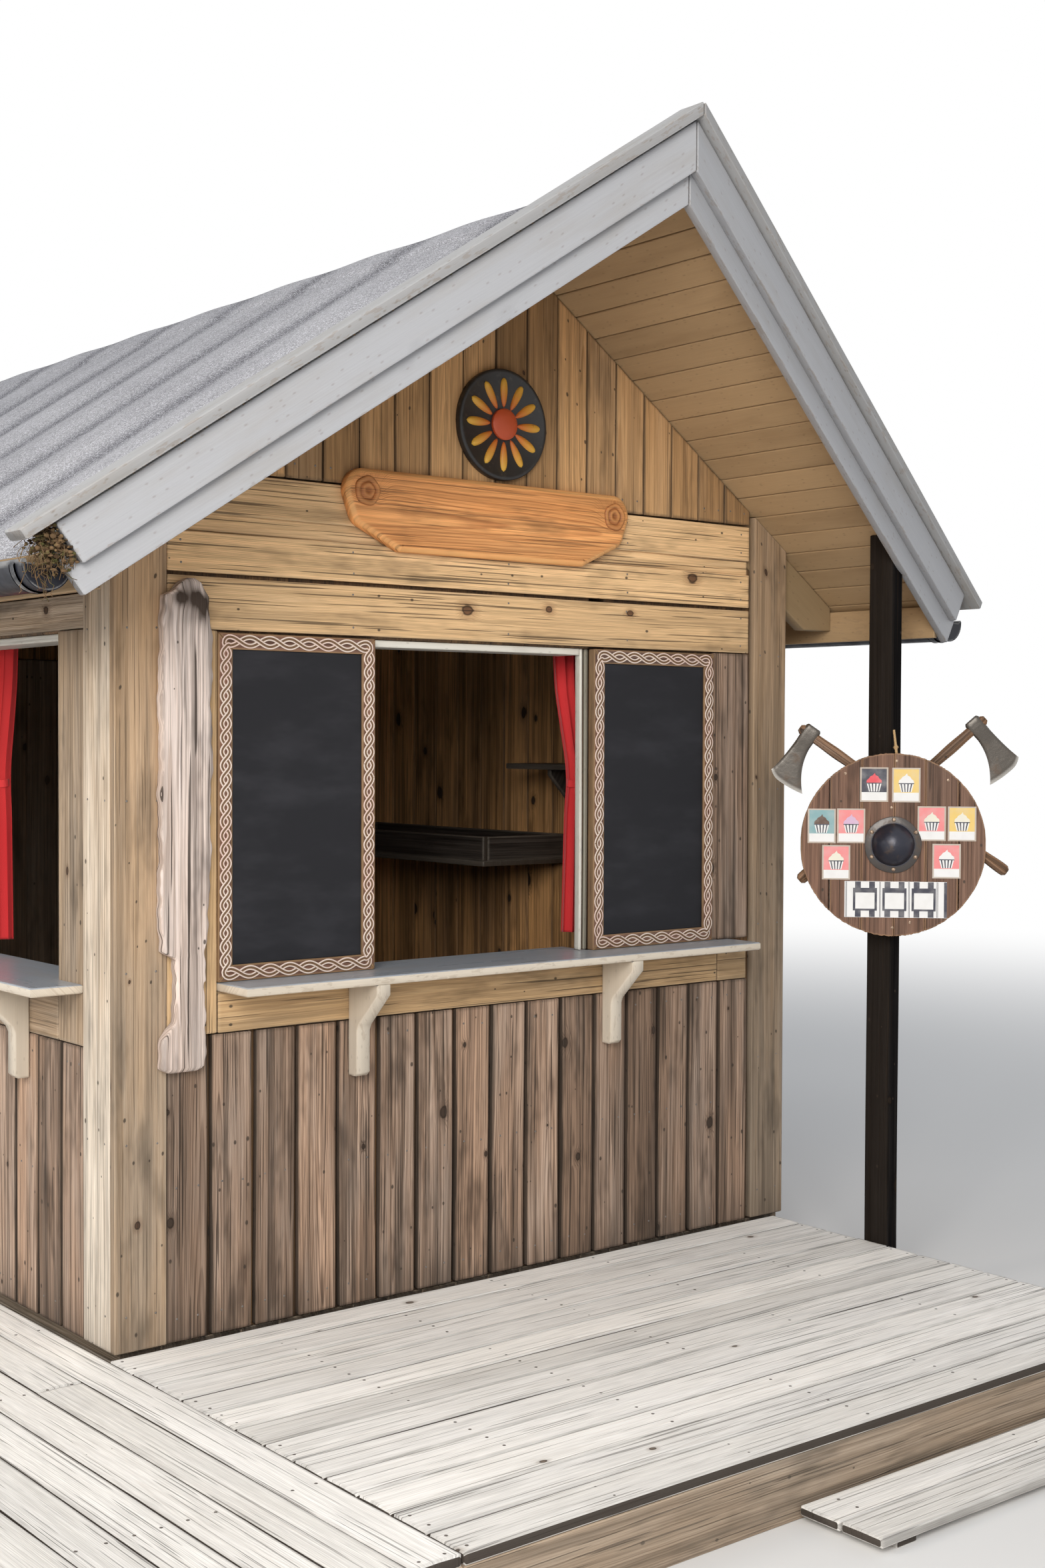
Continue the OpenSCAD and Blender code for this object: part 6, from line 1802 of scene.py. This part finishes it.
# %% Fixings
pile = Pile()
random = np.random.default_rng(280)
FRONT, LEFTWARDS, UP = (0, -1, 0), (-1, 0, 0), (0, 0, 1)


def fixings(x, y, z, out, radius=0.0032, height=0.0007):
    """Heads at every combination of x, y and z, each a little off its mark."""
    places = np.stack(np.meshgrid(x, y, z, indexing="ij"), -1).reshape(-1, 3)
    places = places + random.normal(0, 0.0015, places.shape) * (np.abs(out) < 0.5)
    domes(pile, places, out, radius, height, 8, 0.3)


def both_edges(lanes, inset):
    """Lines at an inset from the left and from the right edges of boards."""
    return np.concatenate([lanes[0] + inset, lanes[1] - inset])


levels = np.array([0.1, 0.55, 1.0, 1.45, 1.9, 2.15])
fixings(both_edges(set_out(inner_x0, inner_x1, *spacing), 0.028), 0.0, [0.07, 0.42, 0.77], FRONT)
fixings(both_edges(set_out_gable(inner_x0, inner_x1, *gable_spacing), 0.025), 0.0, gable_z + 0.04, FRONT)
for z0, z1 in rows:
    fixings([inner_x0 + 0.04, 0.74, 1.3, 1.78, inner_x1 - 0.04], 0.0, [z0 + 0.025, z1 - 0.028], FRONT)
for x in (0.03, corner_w - 0.03, hut_w - 0.03, hut_w - corner_w + 0.03):
    fixings(x, -0.004, levels, FRONT)
fixings(-0.004, [0.05, corner_w], levels[:5], LEFTWARDS)
fixings(0.0, both_edges(set_out(side_in, rear_jamb, *spacing), 0.028), [0.07, 0.42, 0.74], LEFTWARDS)
deck_screw = {"out": UP, "radius": 0.0042, "height": 0.0004}
pairs = near[:, None] + (0.028, front_step_y - deck_gap - 0.028)
fixings(front_joists + joist_w / 2, pairs.ravel(), 0.0, **deck_screw)
pairs = lane[:, None] + (0.028, deck_pitch - deck_gap - 0.028)
fixings(pairs.ravel(), cross_joists + joist_w / 2, 0.0, **deck_screw)
fixings(battens + 0.035, (lanes[:, None] + (0.028, 0.09)).ravel(), step_top, **deck_screw)
metal = speckled("fixings", (0.1, 0.085, 0.075), (0.3, 0.28, 0.26), 90.0, roughness=0.45, metallic=0.6)
piece("nails_and_screws", pile, metal, "steel", sharp=180)

# %% [markdown]
# ## Light
# Soft studio light, near to that of the photo: a broad key from the camera's left and high up, a
# weaker lamp further to the left aimed at the left front corner, a little from behind on the roof,
# and an even pale surround. The floor is plain and pale. Far from the hut, and in the surround, the
# camera sees white, and so do mirrored and clear surfaces, but no light comes from that white.

# %% Floor and lights
floor_mesh = bpy.data.meshes.new("studio_floor")
floor_mesh.from_pydata([(x, y, 0) for x, y in rectangle(-40.0, 40.0, -40.0, 40.0)], [], [(0, 1, 2, 3)])
f = Finish("floor_paint")
floor_mesh.materials.append(f.finish((0.8, 0.79, 0.775), 0.8, specular_ior_level=0.2))
away = f.node("VectorMath", f.place(), operation="LENGTH").outputs["Value"]
white = f.node("Background", (1, 1, 1), 1.0)
fade = f.times(f.ramp(away, 4.5, 13.0), f.seen())
blend = f.node("MixShader", fade, f.shader.outputs[0], white.outputs[0])
f.join(f.tree.nodes["Material Output"].inputs["Surface"], blend.outputs[0])
floor_object = bpy.data.objects.new("studio_floor", floor_mesh)
bpy.context.collection.objects.link(floor_object)


def lamp(name, place, target, width, power, colour):
    """A square area lamp at a place, turned so that its light falls on a target."""
    data = bpy.data.lights.new(name, "AREA")
    data.size, data.energy, data.color = width, power, colour
    made = bpy.data.objects.new(name, data)
    back = unit(np.subtract(place, target))
    side = unit(np.cross((0, 0, 1), back))
    made.matrix_world = standing([side, np.cross(back, side), back], place)
    bpy.context.collection.objects.link(made)


lamp("key", (-5.6, -7.6, 4.4), (0, -0.5, 1.2), 4.0, 560, (1.0, 0.97, 0.92))
lamp("side", (-8.0, -1.0, 4.2), (-1.2, -1.2, 1.0), 2.0, 150, (1.0, 0.96, 0.9))
lamp("roof", (-6.5, 5.5, 6.5), (0, 0.5, 2.5), 3.0, 70, (1.0, 0.98, 0.95))
f = Finish("surround", bpy.data.worlds.new("surround"))
bpy.context.scene.world = f.material
sky, white = f.tree.nodes["Background"], f.node("Background", (1, 1, 1), 1.0)
f.join(sky.inputs["Color"], (0.86, 0.9, 0.96))
f.join(sky.inputs["Strength"], 0.55)
pick = f.node("MixShader", f.seen(), sky.outputs[0], white.outputs[0])
f.join(f.tree.nodes["World Output"].inputs["Surface"], pick.outputs[0])
bpy.context.scene.view_settings.view_transform = "Standard"
